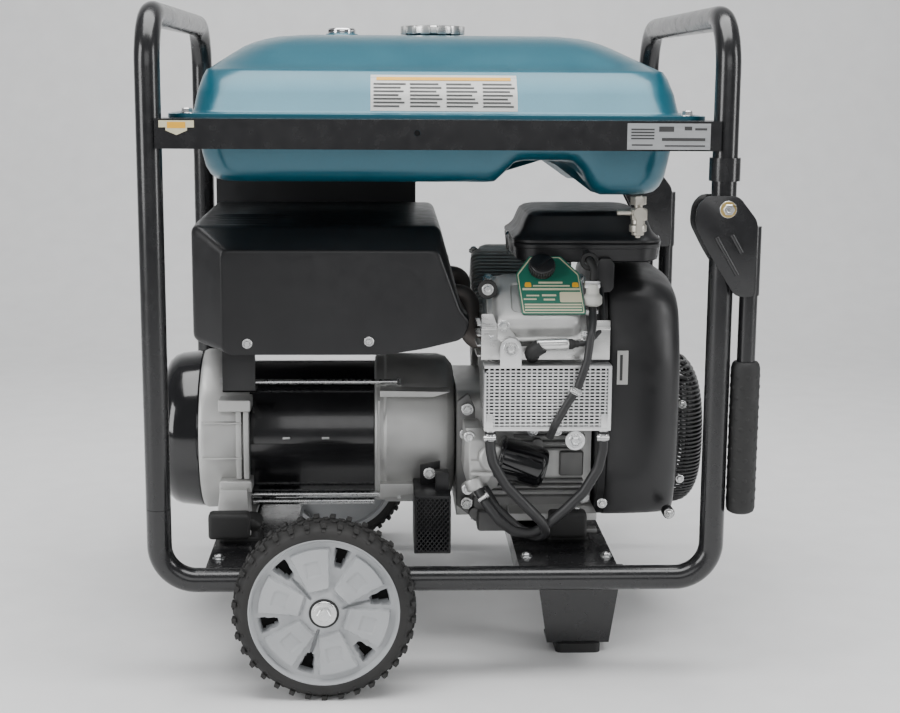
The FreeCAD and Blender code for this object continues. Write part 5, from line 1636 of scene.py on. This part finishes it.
def filter_adapter():
    body = [at(44, -196, 334), at(66, -196, 334), at(92, -196, 312), at(98, -196, 280),
            at(92, -196, 246),
            at(74, -196, 236), at(50, -196, 244), at(42, -196, 270)]
    cap = [at(52, -206, 318), at(66, -206, 318), at(82, -206, 302), at(86, -206, 278), at(78, -206, 258),
           at(60, -206, 252), at(50, -206, 264), at(50, -206, 300)]
    bm = bmesh.new()
    add_loft(bm, [[p + inward(68) for p in body], body, cap])
    parts = [finish_mesh("adapter_body", bm, 2.0, 30)]
    parts.append(block("adapter_rib", at(52, -213, 283), at(88, -204, 289), 1.5, 2))
    parts.append(block("adapter_rib", at(52, -213, 266), at(84, -204, 272), 1.5, 2))
    parts.append(turned("adapter_boss", [(0, 0), (21, 0), (21, 6), (18, 9), (0, 9)], at(82, -204, 292),
                        (0.3, -1, 0), 30))
    parts.append(turned("pressure_switch", [(0, 0), (12, 0), (12.6, 2), (12.6, 15), (11, 17), (5, 18),
                                            (5, 25), (0, 25)],
                        at(54, -212, 262), (0.35, -0.2, -1), 30))
    for x, z in ((50, 322), (80, 312), (48, 244)):
        parts.append(turned("lug", [(0, 0), (9, 0), (9, 10), (7.5, 12), (0, 12)], at(x, -190, z), NEAR,
                            24))
    paint_all(parts, "cast")
    can = turned("filter_can", [(0, 0), (29, 0), (32, 2), (32.5, 5), (31, 7), (31, 62), (29.5, 68),
                                (26, 72), (18, 74),
                                (0, 74.5)], at(*CAN_START), CAN_WAY, 64, 0.6)
    can.data.materials.append(PAINT["gloss_black"])
    return join("filter_and_adapter", parts + [can])


stand_in(filter_adapter(), None, "oil_filter")
bolts("adapter_bolts", [at(50, -202, 322), at(80, -202, 312), at(48, -202, 244)], NEAR, 10, head=6)


# %% [markdown]
# Two hoses hang from the cooler, cross low down and rise to the adapter.

# %% Oil hoses and their clamps
HOSE_R = 7.4
left_route = [at(75.7, -270, 346), at(76, -270, 320), at(80, -273, 300), at(99, -276, 268),
              at(128, -276, 238),
              at(152, -270, 212), at(158, -262, 194), at(146, -252, 186), at(120, -240, 194),
              at(88, -226, 222),
              at(72, -206, 246)]
right_route = [at(235.5, -270, 346), at(235, -271, 318), at(229, -272, 292), at(210, -270, 258),
               at(184, -266, 230),
               at(160, -262, 207), at(138, -260, 193), at(112, -254, 195), at(92, -244, 208),
               at(74, -230, 230),
               at(62, -218, 248)]
hose_pair = [tube("hose_left", left_route, HOSE_R, 30, 20, 6),
             tube("hose_right", right_route, HOSE_R, 30, 20, 6)]
paint_all(hose_pair, "hose")
stand_in(join("oil_hose_pair", hose_pair), None, "oil_hoses")


def clamp(name, centre, axis, radius=8.6):
    """Bent strip round a hose with its tightening screw."""
    band = turned("band", [(radius - 0.9, -4.5), (radius, -4.5), (radius + 0.4, 0), (radius, 4.5),
                           (radius - 0.9, 4.5)],
                  centre, axis, 30, 0.2)
    across = Vector(axis).normalized().cross(Vector(FAR)).normalized()
    screw = turned("screw", [(0, -7), (3.2, -7), (3.2, 6), (4.4, 6), (4.4, 10), (0, 10)],
                   centre + Vector((0, -radius - 1.5, 0)) * MM, across, 12, 0.4)
    paint_all((band, screw), "zinc")
    return dress(join(name, [band, screw]), None)


clamp("hose_clamp_1", at(75.8, -270, 338), UP)
clamp("hose_clamp_2", at(235.4, -270.5, 338), UP)
clamp("hose_clamp_3", at(68, -224, 239), (0.62, 0.5, -0.95))


# %% [markdown]
# The breather hose runs down in front of the cooler, held by two clips.

# %% Breather: grommet, joint, hose and clip
dress(turned("grommet", [(7, -3), (12, -3), (13.4, 0), (12, 3), (7, 3)], at(216, -228, 582),
             (0, -1, 0.2), 36), "rubber")
dress(tube("breather_top", [at(216, -196, 590), at(216, -228, 584), at(222, -236, 572),
                            at(221, -238, 552)], 5.6, 12),
      "rubber")


def breather_joint():
    profile = [(0, 28), (7.5, 28), (9, 26), (9.5, 14), (13.5, 10), (14, 0), (11, -3), (6, -5), (6, -9),
               (0, -9)]
    return turned("breather_joint", profile, at(220, -240, 524), UP, 32)


dress(breather_joint(), "connector")
clamp("breather_clip_1", at(220, -240, 512), UP, 7.2)
breather_route = [at(220, -240, 520), at(218, -266, 500), at(213, -284, 484), at(208, -290, 450),
                  at(196, -289, 412),
                  at(180, -288, 386), at(166, -286, 360), at(160, -270, 338)]
dress(tube("breather_hose", breather_route, 5.8, 24, 18, 6), "hose")
clamp("breather_clip_2", at(193.5, -288.8, 407), (0.5, 0.05, 1), 6.8)
dress(block("joint_clip", at(208, -246, 546), at(230, -234, 556), 1.5, 2), "zinc")


# %% [markdown]
# Ribs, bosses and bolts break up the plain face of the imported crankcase.

# %% Crank case details on the near side
CASE_X0, CASE_X1 = span("crankcase")[:2]
CASE_FACE = -128


def case_details():
    parts = []
    for k, z in enumerate((318, 308, 298, 288)):
        parts.append(block("rib", at(120, CASE_FACE - 12, z - 1.6),
                           at(CASE_X1 - 10 - 3 * k, CASE_FACE + 2, z + 1.6), 1, 2))
    for z in (240, 232, 224):
        parts.append(block("rib", at(80, CASE_FACE - 10, z - 1.4),
                           at(CASE_X1 - 14, CASE_FACE + 2, z + 1.4), 1, 2))
    parts.append(block("pad", at(190, CASE_FACE - 8, 246), at(226, CASE_FACE + 2, 284), 4, 3))
    parts.append(block("skirt", at(60, CASE_FACE - 10, 176), at(CASE_X1 - 12, CASE_FACE + 4, 216), 5, 3))
    parts.append(block("sump", at(66, -150, 164), at(112, -100, 196), 6, 3))
    for x, z in ((148, 318), (184, 318), (156, 296), (50, 350), (48, 312), (50, 206), (62, 190),
                 (226, 350), (226, 214)):
        parts.append(turned("boss", [(0, 0), (8.5, 0), (8.5, 14), (7.5, 15), (0, 15)],
                            at(x, CASE_FACE + 2, z), NEAR,
                            24))
    outline = [at(CASE_X0 - 1, CASE_FACE - 4, 200), at(CASE_X0 + 22, CASE_FACE - 4, 182),
               at(CASE_X0 + 30, CASE_FACE - 4, 200),
               at(CASE_X0 + 26, CASE_FACE - 4, 350), at(CASE_X0 + 16, CASE_FACE - 4, 372),
               at(CASE_X0 - 1, CASE_FACE - 4, 360)]
    parts.append(plate("gear_cover_edge", outline, inward(14), 3))
    plate_top = FOOT_LOW.z / MM + 10
    for side in (-1, 1):
        parts.append(block("foot_pad", at(158, side * 190 - 10, plate_top - 2),
                           at(CASE_X1, side * 190 + 10, plate_top + 4),
                           2.5, 3))
    paint_all(parts, "cast_dark")
    return join("case_ribs_and_bosses", parts)


dress(case_details(), None)
bolts("case_bolts", [at(x, CASE_FACE - 13, z) for x, z in ((148, 318), (184, 318), (50, 350), (48, 312),
                                                           (50, 206),
                                                         (226, 350), (226, 214))], NEAR, 11, head=6)
bolts("case_foot_bolts", [at(212, side * 176, 203) for side in (-1, 1)], UP, 13)
print("rocker cover top %.0f mm from the shaft, lean %.0f degrees" % (COVER_TOP, math.degrees(LEAN)))

# %% [markdown]
# ## Fan cowl, grille and air cleaner
# Black moulded plastic. The cowl is a smooth loft with a step behind its front
# edge; the grille is a stack of curved slats.

# %% Fan cowl
COWL_X0, COWL_X1, cowl_near, _, COWL_BASE, COWL_TOP = span("blower_housing")
COWL_HALF = -cowl_near


def cowl_ring(x, taper):
    wide = COWL_HALF - taper
    base = COWL_BASE + 0.3 + max(0, taper - 20) * 0.15
    corners = [(-wide * 0.80, base), (-wide * 0.955, base + 60), (-wide, base + 150),
               (-wide, 440 - taper * 0.3),
               (-wide * 0.83, COWL_TOP - 22 - taper), (-wide * 0.34, COWL_TOP - taper * 1.0)]
    corners += [(-y, z) for y, z in reversed(corners)]
    return rounded_outline([at(x, y, z) for y, z in corners], 30, 6)


def fan_cowl():
    bm = bmesh.new()
    stations = [(COWL_X0, 7), (COWL_X0 + 1, 6), (COWL_X0 + 12, 5), (COWL_X0 + 14, 1.5),
                (COWL_X0 + 17, 0.4)]
    for k in range(1, 15):
        t = k / 14
        x = COWL_X0 + 17 + (COWL_X1 - 1 - COWL_X0 - 17) * math.sin(t * math.pi / 2)
        stations.append((x, 0.4 + 38 * (1 - math.cos(t * math.pi / 2)) ** 1.25))
    stations.append((COWL_X1, 42))
    add_loft(bm, [cowl_ring(x, taper) for x, taper in stations])
    return finish_mesh("fan_cowl", bm, 0, 30)


stand_in(fan_cowl(), "housing", "blower_housing")
boss = [at(x, -188, z) for x, z in ((230, 538), (230, 574), (238, 582), (252, 582), (258, 574),
                                    (258, 538), (252, 532),
                                    (236, 532))]
dress(plate("cowl_boss", boss, inward(60), 3), "housing")
dress(turned("cowl_bolt_boss", [(0, 0), (9, 0), (9, 16), (7, 18), (0, 18)], at(352, -150, 196), NEAR,
             24), "housing")
bolts("cowl_bolts", [at(352, -168, 196), at(250, -174, 214)], NEAR, 9)
strip = [at(266, -COWL_HALF - 0.5, 396), at(282, -COWL_HALF - 0.5, 396), at(282, -COWL_HALF - 0.5, 446),
         at(266, -COWL_HALF - 0.5, 446)]
dress(plate("cowl_sticker", strip, inward(1.4), 0), "paper")
dress(block("cowl_sticker_print", at(270, -COWL_HALF - 0.7, 402), at(274, -COWL_HALF, 440), 0), "ink")


# %% [markdown]
# Each slat is cut from two curves. Thin ribs tie the stack of slats together.

# %% Grille of curved slats
GRILLE_LOW, GRILLE_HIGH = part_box("fan_guard")
GRILLE_X0 = span("fan_guard")[0]
GRILLE_DEEP = (GRILLE_HIGH.x - GRILLE_LOW.x) / MM
GRILLE_R = (GRILLE_HIGH.z - GRILLE_LOW.z) / 2 / MM


SLAT_STEPS = 40


def slat_edge(height, inset):
    """Curved outline of one slat seen from above, from the near end to the far end."""
    reach = math.sqrt(max(GRILLE_R ** 2 - height ** 2, 0)) - inset
    deep = (GRILLE_DEEP - inset) * (1 - (abs(height) / GRILLE_R) ** 3.2) ** (1 / 3.2)
    points = []
    for k in range(SLAT_STEPS + 1):
        t = math.sin(math.pi * (k / SLAT_STEPS - 0.5))
        bulge = (1 - abs(t) ** 3.0) ** (1 / 3.0)
        points.append((GRILLE_X0 + 2 + max(deep - 2, 1) * bulge, reach * t))
    return points


def grille():
    bm = bmesh.new()
    level = -GRILLE_R + 6
    while level < GRILLE_R - 5:
        outer = slat_edge(level, 0)
        inner = slat_edge(level, 7)
        outline = [at(x, y, SHAFT_Z + level) for x, y in outer + list(reversed(inner))]
        add_plate(bm, outline, upward(2.4))
        level += 6.2
    slats = finish_mesh("slats", bm, 0, 40)
    flange = on_shaft("flange", [(GRILLE_R - 12, GRILLE_X0), (GRILLE_R, GRILLE_X0),
                                 (GRILLE_R, GRILLE_X0 + 5),
                                 (GRILLE_R - 3, GRILLE_X0 + 7), (GRILLE_R - 12, GRILLE_X0 + 7)], 120,
                                 0.8)
    hub = on_shaft("hub", [(0, GRILLE_X0 + GRILLE_DEEP - 8), (30, GRILLE_X0 + GRILLE_DEEP - 8),
                           (30, GRILLE_X0 + GRILLE_DEEP - 2), (26, GRILLE_X0 + GRILLE_DEEP),
                           (0, GRILLE_X0 + GRILLE_DEEP)],
                   48, 0.8)
    ribs = []
    for y in (-72, -36, 36, 72):
        path = []
        for k in range(25):
            t = math.sin(math.pi * (k / 24 - 0.5))
            reach = math.sqrt(GRILLE_R ** 2 - y ** 2)
            deep = (GRILLE_DEEP - 4) * (1 - (abs(y) / GRILLE_R) ** 3.0) ** (1 / 3.0)
            path.append(at(GRILLE_X0 + 2 + (deep - 4) * (1 - abs(t) ** 3.2) ** (1 / 3.2), y,
                           SHAFT_Z + (reach - 3) * t))
        ribs_bm = bmesh.new()
        add_tube(ribs_bm, path, 2.0, 8)
        ribs.append(finish_mesh("rib", ribs_bm, 0, 40))
    paint_all([slats, flange, hub] + ribs, "housing")
    return join("grille_slats", [slats, flange, hub] + ribs)


stand_in(grille(), None, "fan_guard")
bolts("grille_screws", [at(GRILLE_X0 + 12, -108, SHAFT_Z + 58), at(GRILLE_X0 + 12, 108, SHAFT_Z + 58),
                        at(GRILLE_X0 + 12, -108, SHAFT_Z - 58), at(GRILLE_X0 + 12, 108, SHAFT_Z - 58)],
      [NEAR, FAR, NEAR, FAR], 8, head=4)


# %% [markdown]
# A tray and a hood, lofted through rounded rings and held by spring wire clips.

# %% Air cleaner
TRAY = span("air_cleaner_base")
LID = span("air_cleaner_lid")


def level_ring(inset, z, corner):
    return rounded_ring(TRAY[0] + inset, TRAY[1] - inset, TRAY[2] + inset, TRAY[3] - inset, corner,
                        lambda x, y: z)


def air_cleaner_base():
    low, high = TRAY[4:]
    bm = bmesh.new()
    add_loft(bm, [level_ring(26, low, 14), level_ring(8, low + 0.4, 30), level_ring(3, low + 3, 33),
                  level_ring(1.5, high - 8, 35), level_ring(-1, high - 7, 36),
                  level_ring(-1.5, high - 2, 36),
                  level_ring(0, high, 35)])
    return finish_mesh("air_cleaner_tray", bm, 0, 40)


def air_cleaner_lid():
    low, high = LID[4:]
    bm = bmesh.new()
    levels = [(1, low, 35), (-1.6, low + 0.6, 36), (-1.8, low + 4, 36), (0, low + 6.5, 35),
              (4, low + 9, 33),
              (9, low + 14, 31), (11.5, low + 18, 30), (17, high - 12, 28), (20, high - 6, 26),
              (26, high - 2, 24),
              (34, high, 22), (60, high, 16)]
    add_loft(bm, [level_ring(inset, z, corner) for inset, z, corner in levels])
    return finish_mesh("air_cleaner_hood", bm, 0, 28)


stand_in(air_cleaner_base(), "housing", "air_cleaner_base")
stand_in(air_cleaner_lid(), "housing", "air_cleaner_lid", "cleaner_lid")


def wire_clip(name, x, y, lean_x, lean_y):
    """Bent spring wire that hooks over the rim of the tray."""
    top = LID[4] + 3
    route = []
    for shift, drop, reach in ((-6, -26, 2), (-6, -10, 5), (-7, 2, 6), (-4, 8, 4), (4, 8, 4), (7, 2, 6),
                               (6, -10, 5),
                               (6, -26, 2)):
        route.append(at(x + lean_x * reach + lean_y * shift, y + lean_y * reach + lean_x * shift,
                        top + drop - 6))
    return dress(tube(name, route, 1.4, 4, 10, 4), "zinc")


wire_clip("lid_clip_1", TRAY[1] - 1, -120, 1, 0)
wire_clip("lid_clip_2", TRAY[1] - 1, 10, 1, 0)
wire_clip("lid_clip_3", TRAY[0] + 1, -60, -1, 0)
print("cowl, grille and air cleaner done")

# %% [markdown]
# ## Mounts and outlet guard

# %% Vibration mounts
def vibration_mounts():
    low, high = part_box("vibration_mounts")
    parts = []
    for x, half in ((-285, 31), (200, 30.5)):
        for side in (-1, 1):
            y0, y1 = sorted((side * 128.5, side * 179.5))
            z0, z1 = low.z / MM, high.z / MM
            bm = bmesh.new()
            rings = []
            for inset, z in ((0, z0), (0, z0 + 4), (4, z0 + 6), (6, z0 + 14), (2, z0 + 19), (1, z0 + 23),
                             (3, z1 - 5),
                             (8, z1 - 1), (12, z1)):
                rings.append(rounded_ring(x - half + inset, x + half - inset, y0 + inset * 0.5,
                                          y1 - inset * 0.5, 7,
                                          lambda a, b, level=z: level, 6, 4))
            add_loft(bm, rings)
            parts.append(finish_mesh("mount", bm, 0, 30))
    paint_all(parts, "rubber")
    return join("rubber_mounts", parts)


stand_in(vibration_mounts(), None, "vibration_mounts")
for i, (x, half) in enumerate(((-300, 30), (196, 28))):
    for side in (-1, 1):
        y0, y1 = sorted((side * 181, side * 208))
        dress(block("mount_nose_%d_%s" % (i + 1, "near" if side < 0 else "far"), at(x - half, y0, 170),
                    at(x + half, y1, 209), 7, 4), "rubber")


# %% [markdown]
# Strips lean both ways over the opening and stop at its edges.

# %% Outlet guard with a diamond mesh front
def outlet_guard():
    x0, x1, y0, y1, z0, z1 = span("air_outlet_guard")
    parts = [block("top", at(x0, y0 + 1, z1 - 5), at(x1, y1, z1), 2, 2),
             block("base", at(x0, y0 + 1, z0), at(x1, y1, z0 + 4), 2, 2),
             block("left", at(x0, y0 + 1, z0), at(x0 + 4, y1, z1), 2, 2),
             block("right", at(x1 - 4, y0 + 1, z0), at(x1, y1, z1), 2, 2),
             block("back", at(x0 + 2, y1 - 3, z0 + 2), at(x1 - 2, y1, z1 - 2), 1, 2)]
    paint_all(parts, "sheet")
    return join("outlet_guard_case", parts)


stand_in(outlet_guard(), None, "air_outlet_guard")


def diamond_mesh():
    """Crossed strips over the front of the guard, cut to its edges."""
    x0, x1, y0, _, z0, z1 = span("air_outlet_guard")
    half_x, half_z = (x1 - x0) / 2 - 2, (z1 - z0) / 2 - 2
    centre_x, centre_z = (x0 + x1) / 2, (z0 + z1) / 2
    spots, turns, sizes = [], [], []
    for lean_way in (-1, 1):
        for k in range(-11, 12):
            offset = k * 6.5
            ends = []
            for t in range(-200, 201):
                x = offset + t * 0.6
                z = lean_way * t * 0.75
                if abs(x) <= half_x and abs(z) <= half_z:
                    ends.append((x, z))
            if len(ends) < 3:
                continue
            (ax, az), (bx, bz) = ends[0], ends[-1]
            spots.append(at(centre_x + (ax + bx) / 2, y0 + 1.4 + 0.3 * lean_way,
                            centre_z + (az + bz) / 2))
            turns.append((0, -math.atan2(bz - az, bx - ax), 0))
            sizes.append((math.hypot(bx - ax, bz - az) / 10, 1, 1))
    return copies("outlet_guard_mesh", bar_seed(10, 1.6, 1.5), spots, turns, "sheet", sizes)


dress(diamond_mesh(), None)
dress(block("guard_hanger", at(2, -178, 232), at(22, -150, 262), 2, 2), "sheet")
bolts("guard_bolt", [at(-6, -140, 252)], NEAR, 11)
dress(plate("guard_tab", [at(-20, -136, 236), at(10, -136, 236), at(10, -136, 270), at(-20, -136, 264)],
            inward(6), 1), "sheet")


# %% [markdown]
# ## Labels
# Plain sheets with bars where the printed words would be.

# %% Labels on the tank, the rails and their printing
def flat_label(name, x0, x1, y, z0, z1, paint):
    """Thin sheet facing the near side."""
    outline = [at(x0, y, z0), at(x1, y, z0), at(x1, y, z1), at(x0, y, z1)]
    return dress(plate(name, outline, inward(0.35), 0), paint)


def bars_on(name, rows, y, paint, level=0.3):
    """Bars (x0, x1, z0, z1) joined as one piece of printing."""
    parts = []
    for x0, x1, z0, z1, depth in rows:
        parts.append(plate("bar", [at(x0, y + depth - level, z0), at(x1, y + depth - level, z0),
                                   at(x1, y + depth - level, z1), at(x0, y + depth - level, z1)],
                           inward(0.2), 0))
    paint_all(parts, paint)
    return dress(join(name, parts), None)


TANK_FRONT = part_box("tank_upper_shell")[0].y / MM
RAIL_FACE = RAIL_LOW.y / MM
RAIL_Z0, RAIL_Z1 = RAIL_LOW.z / MM, RAIL_HIGH.z / MM


def on_tank(x, z, lift=0.0):
    """Point on the near wall of the tank at a given place, found by a ray."""
    start = at(x, TANK_FRONT - 200, z)
    hit, place, normal = bpy.context.scene.ray_cast(
        bpy.context.evaluated_depsgraph_get(), start, Vector(FAR))[:3]
    return place + normal * lift * MM if hit else start


def wrapped_sheet(name, x0, x1, z0, z1, paint, lift, columns=24, rows=8):
    """Sheet laid over the tank wall, with a hidden back so it is closed."""
    bm = bmesh.new()
    layers = []
    for depth in (lift, lift - 0.6):
        layers.append([[bm.verts.new(on_tank(x0 + (x1 - x0) * i / columns, z0 + (z1 - z0) * j / rows,
                                             depth))
                        for i in range(columns + 1)] for j in range(rows + 1)])
    front, back = layers
    for j in range(rows):
        for i in range(columns):
            bm.faces.new((front[j][i], front[j][i + 1], front[j + 1][i + 1], front[j + 1][i]))
            bm.faces.new((back[j][i], back[j + 1][i], back[j + 1][i + 1], back[j][i + 1]))
    for i in range(columns):
        bm.faces.new((front[0][i + 1], front[0][i], back[0][i], back[0][i + 1]))
        bm.faces.new((front[rows][i], front[rows][i + 1], back[rows][i + 1], back[rows][i]))
    for j in range(rows):
        bm.faces.new((front[j][0], front[j + 1][0], back[j + 1][0], back[j][0]))
        bm.faces.new((front[j + 1][columns], front[j][columns], back[j][columns], back[j + 1][columns]))
    piece = finish_mesh(name, bm, 0, 50)
    piece.data.materials.append(PAINT[paint])
    return piece


dress(wrapped_sheet("tank_label", -92, 108, 791, 839, "paper", 0.5), None)


def tank_label_print():
    """Rows of short bars in four columns, with an amber heading."""
    parts = [wrapped_sheet("heading", -84, 100, 832, 836, "amber", 0.7, 20, 1)]
    for column in range(4):
        x0 = -88 + 49.6 * column
        for row in range(7):
            shorter = (row * 7 + column * 5) % 11
            z = 828 - 4.9 * row
            parts.append(wrapped_sheet("line", x0, x0 + 44 - shorter, z - 2.0, z, "ink", 0.62, 5, 1))
    return join("tank_label_print", parts)


bpy.context.view_layer.update()
dress(tank_label_print(), None)

# %% [markdown]
# Both marks are plain: bars for printing and an arrow shape.

# %% Rating plate and lift mark on the near rail
PLATE_X = 248
flat_label("rating_plate", PLATE_X, PLATE_X + 111, RAIL_FACE - 0.8, RAIL_Z0 + 2, RAIL_Z1 - 3, "plate")
rating = [(PLATE_X + 5, PLATE_X + 36, RAIL_Z1 - 12 - 4 * k, RAIL_Z1 - 10 - 4 * k, 0) for k in range(4)]
rating += [(PLATE_X + 42, PLATE_X + 62, RAIL_Z1 - 14, RAIL_Z1 - 7, 0),
           (PLATE_X + 76, PLATE_X + 86, RAIL_Z1 - 12, RAIL_Z1 - 7, 0),
           (PLATE_X + 90, PLATE_X + 106, RAIL_Z1 - 12, RAIL_Z1 - 9, 0),
           (PLATE_X + 46, PLATE_X + 104, RAIL_Z1 - 26, RAIL_Z1 - 22, 0),
           (PLATE_X + 6, PLATE_X + 34, RAIL_Z0 + 7, RAIL_Z0 + 9, 0),
           (PLATE_X + 50, PLATE_X + 104, RAIL_Z0 + 6, RAIL_Z0 + 8, 0)]
bars_on("rating_plate_print", rating, RAIL_FACE - 1.0, "ink", 0.1)
arrow = [(-368, 779), (-368, 770), (-359, 770), (-359, 766), (-345, 760), (-331, 766), (-331, 770),
         (-322, 770),
         (-322, 779)]
dress(plate("lift_mark", [at(x, RAIL_FACE - 0.8, z) for x, z in arrow], inward(0.6), 0), "cream")
dress(plate("lift_mark_middle", [at(x, RAIL_FACE - 1.0, z) for x,
                                 z in ((-357, 777), (-357, 769), (-333, 769),
                                                                    (-333, 777))], inward(0.4), 0),
                                                                    "amber")
# Black disc in the rail hole: painted shade inside the hole.
dress(turned("rail_hole_plug", [(0, 0), (3.9, 0), (3.9, 1), (0, 1)], at(-30, RAIL_FACE + 1.5, 764), NEAR,
             24), "dark")
print("labels placed")

# %% [markdown]
# Bolts hold the cross members to the bottom rails.

# %% Cross member and wheel bracket bolts
cross_x = span("cross_member_right")[:2]
bolt_z = span("cross_member_right")[5]
bolts("cross_member_bolts", [at(x, side * 262, bolt_z) for side in (-1, 1) for x in (cross_x[0] + 14,
                                                                                     cross_x[1] - 10)],
      UP, 11)
bolts("left_member_bolts", [at(x, side * 262, bolt_z) for side in (-1, 1) for x in (-309, -220)], UP, 11)


# %% [markdown]
# ## Studio
# A pale floor that curves up behind, four soft lights and a camera at the
# height of a person kneeling a little way off.

# %% Floor and lights
def studio_floor():
    bm = bmesh.new()
    path = [(-6, 0), (2.2, 0)] + [(2.2 + 1.2 * math.sin(math.radians(a)),
                                   1.2 - 1.2 * math.cos(math.radians(a)))
                                  for a in range(10, 91, 10)] + [(3.4, 6)]
    rows = [[bm.verts.new(Vector((x, y, z))) for x in (-9, 9)] for y, z in path]
    for first, second in zip(rows, rows[1:]):
        bm.faces.new((first[0], first[1], second[1], second[0]))
    return finish_mesh("studio_floor", bm, 0, 80)


floor = studio_floor()
floor.data.materials.append(surface("studio_pale", (0.80, 0.80, 0.80), (0.84, 0.84, 0.84), (0.6, 0.7),
                                    grain=200, bump=0.02))


def soft_light(name, place, aim, size, power):
    light = bpy.data.lights.new(name, "AREA")
    light.shape = "RECTANGLE"
    light.size = size[0]
    light.size_y = size[1]
    light.energy = power
    obj = bpy.data.objects.new(name, light)
    obj.location = place
    obj.rotation_euler = (Vector(aim) - Vector(place)).to_track_quat("-Z", "Y").to_euler()
    bpy.context.scene.collection.objects.link(obj)


soft_light("top_light", (0, -0.4, 3.2), (0, 0, 0.4), (3.0, 2.4), 150)
soft_light("left_light", (-3.2, -2.2, 1.6), (0, 0, 0.5), (1.4, 2.4), 75)
soft_light("right_light", (3.2, -1.6, 1.4), (0, 0, 0.5), (0.9, 2.4), 45)
soft_light("front_light", (0.2, -4.2, 1.9), (0, 0, 0.45), (2.8, 1.6), 26)
world = bpy.data.worlds.new("studio_world")
world.use_nodes = True
world.node_tree.nodes["Background"].inputs[0].default_value = (0.95, 0.97, 1.0, 1)
world.node_tree.nodes["Background"].inputs[1].default_value = 0.22
bpy.context.scene.world = world
print("floor and four lights")


# %% [markdown]
# The lens and place are those of someone kneeling a few steps away.

# %% Camera
camera_data = bpy.data.cameras.new("camera")
camera = bpy.data.objects.new("camera", camera_data)
bpy.context.scene.collection.objects.link(camera)
camera_data.sensor_width = 36
camera_data.lens = 63.16
CAMERA_PLACE = at(-75, -2437, 839)
YAW, PITCH, ROLL = -2.46, -10.09, -0.39
camera.matrix_world = (Matrix.Translation(CAMERA_PLACE) @ Matrix.Rotation(math.radians(YAW), 4, "Z")
                       @ Matrix.Rotation(math.radians(PITCH), 4, "X")
                       @ Matrix.Rotation(math.radians(ROLL), 4, "Y")
                       @ Matrix.Rotation(math.radians(90), 4, "X"))
bpy.context.scene.camera = camera
print("camera at", [round(v, 2) for v in CAMERA_PLACE])
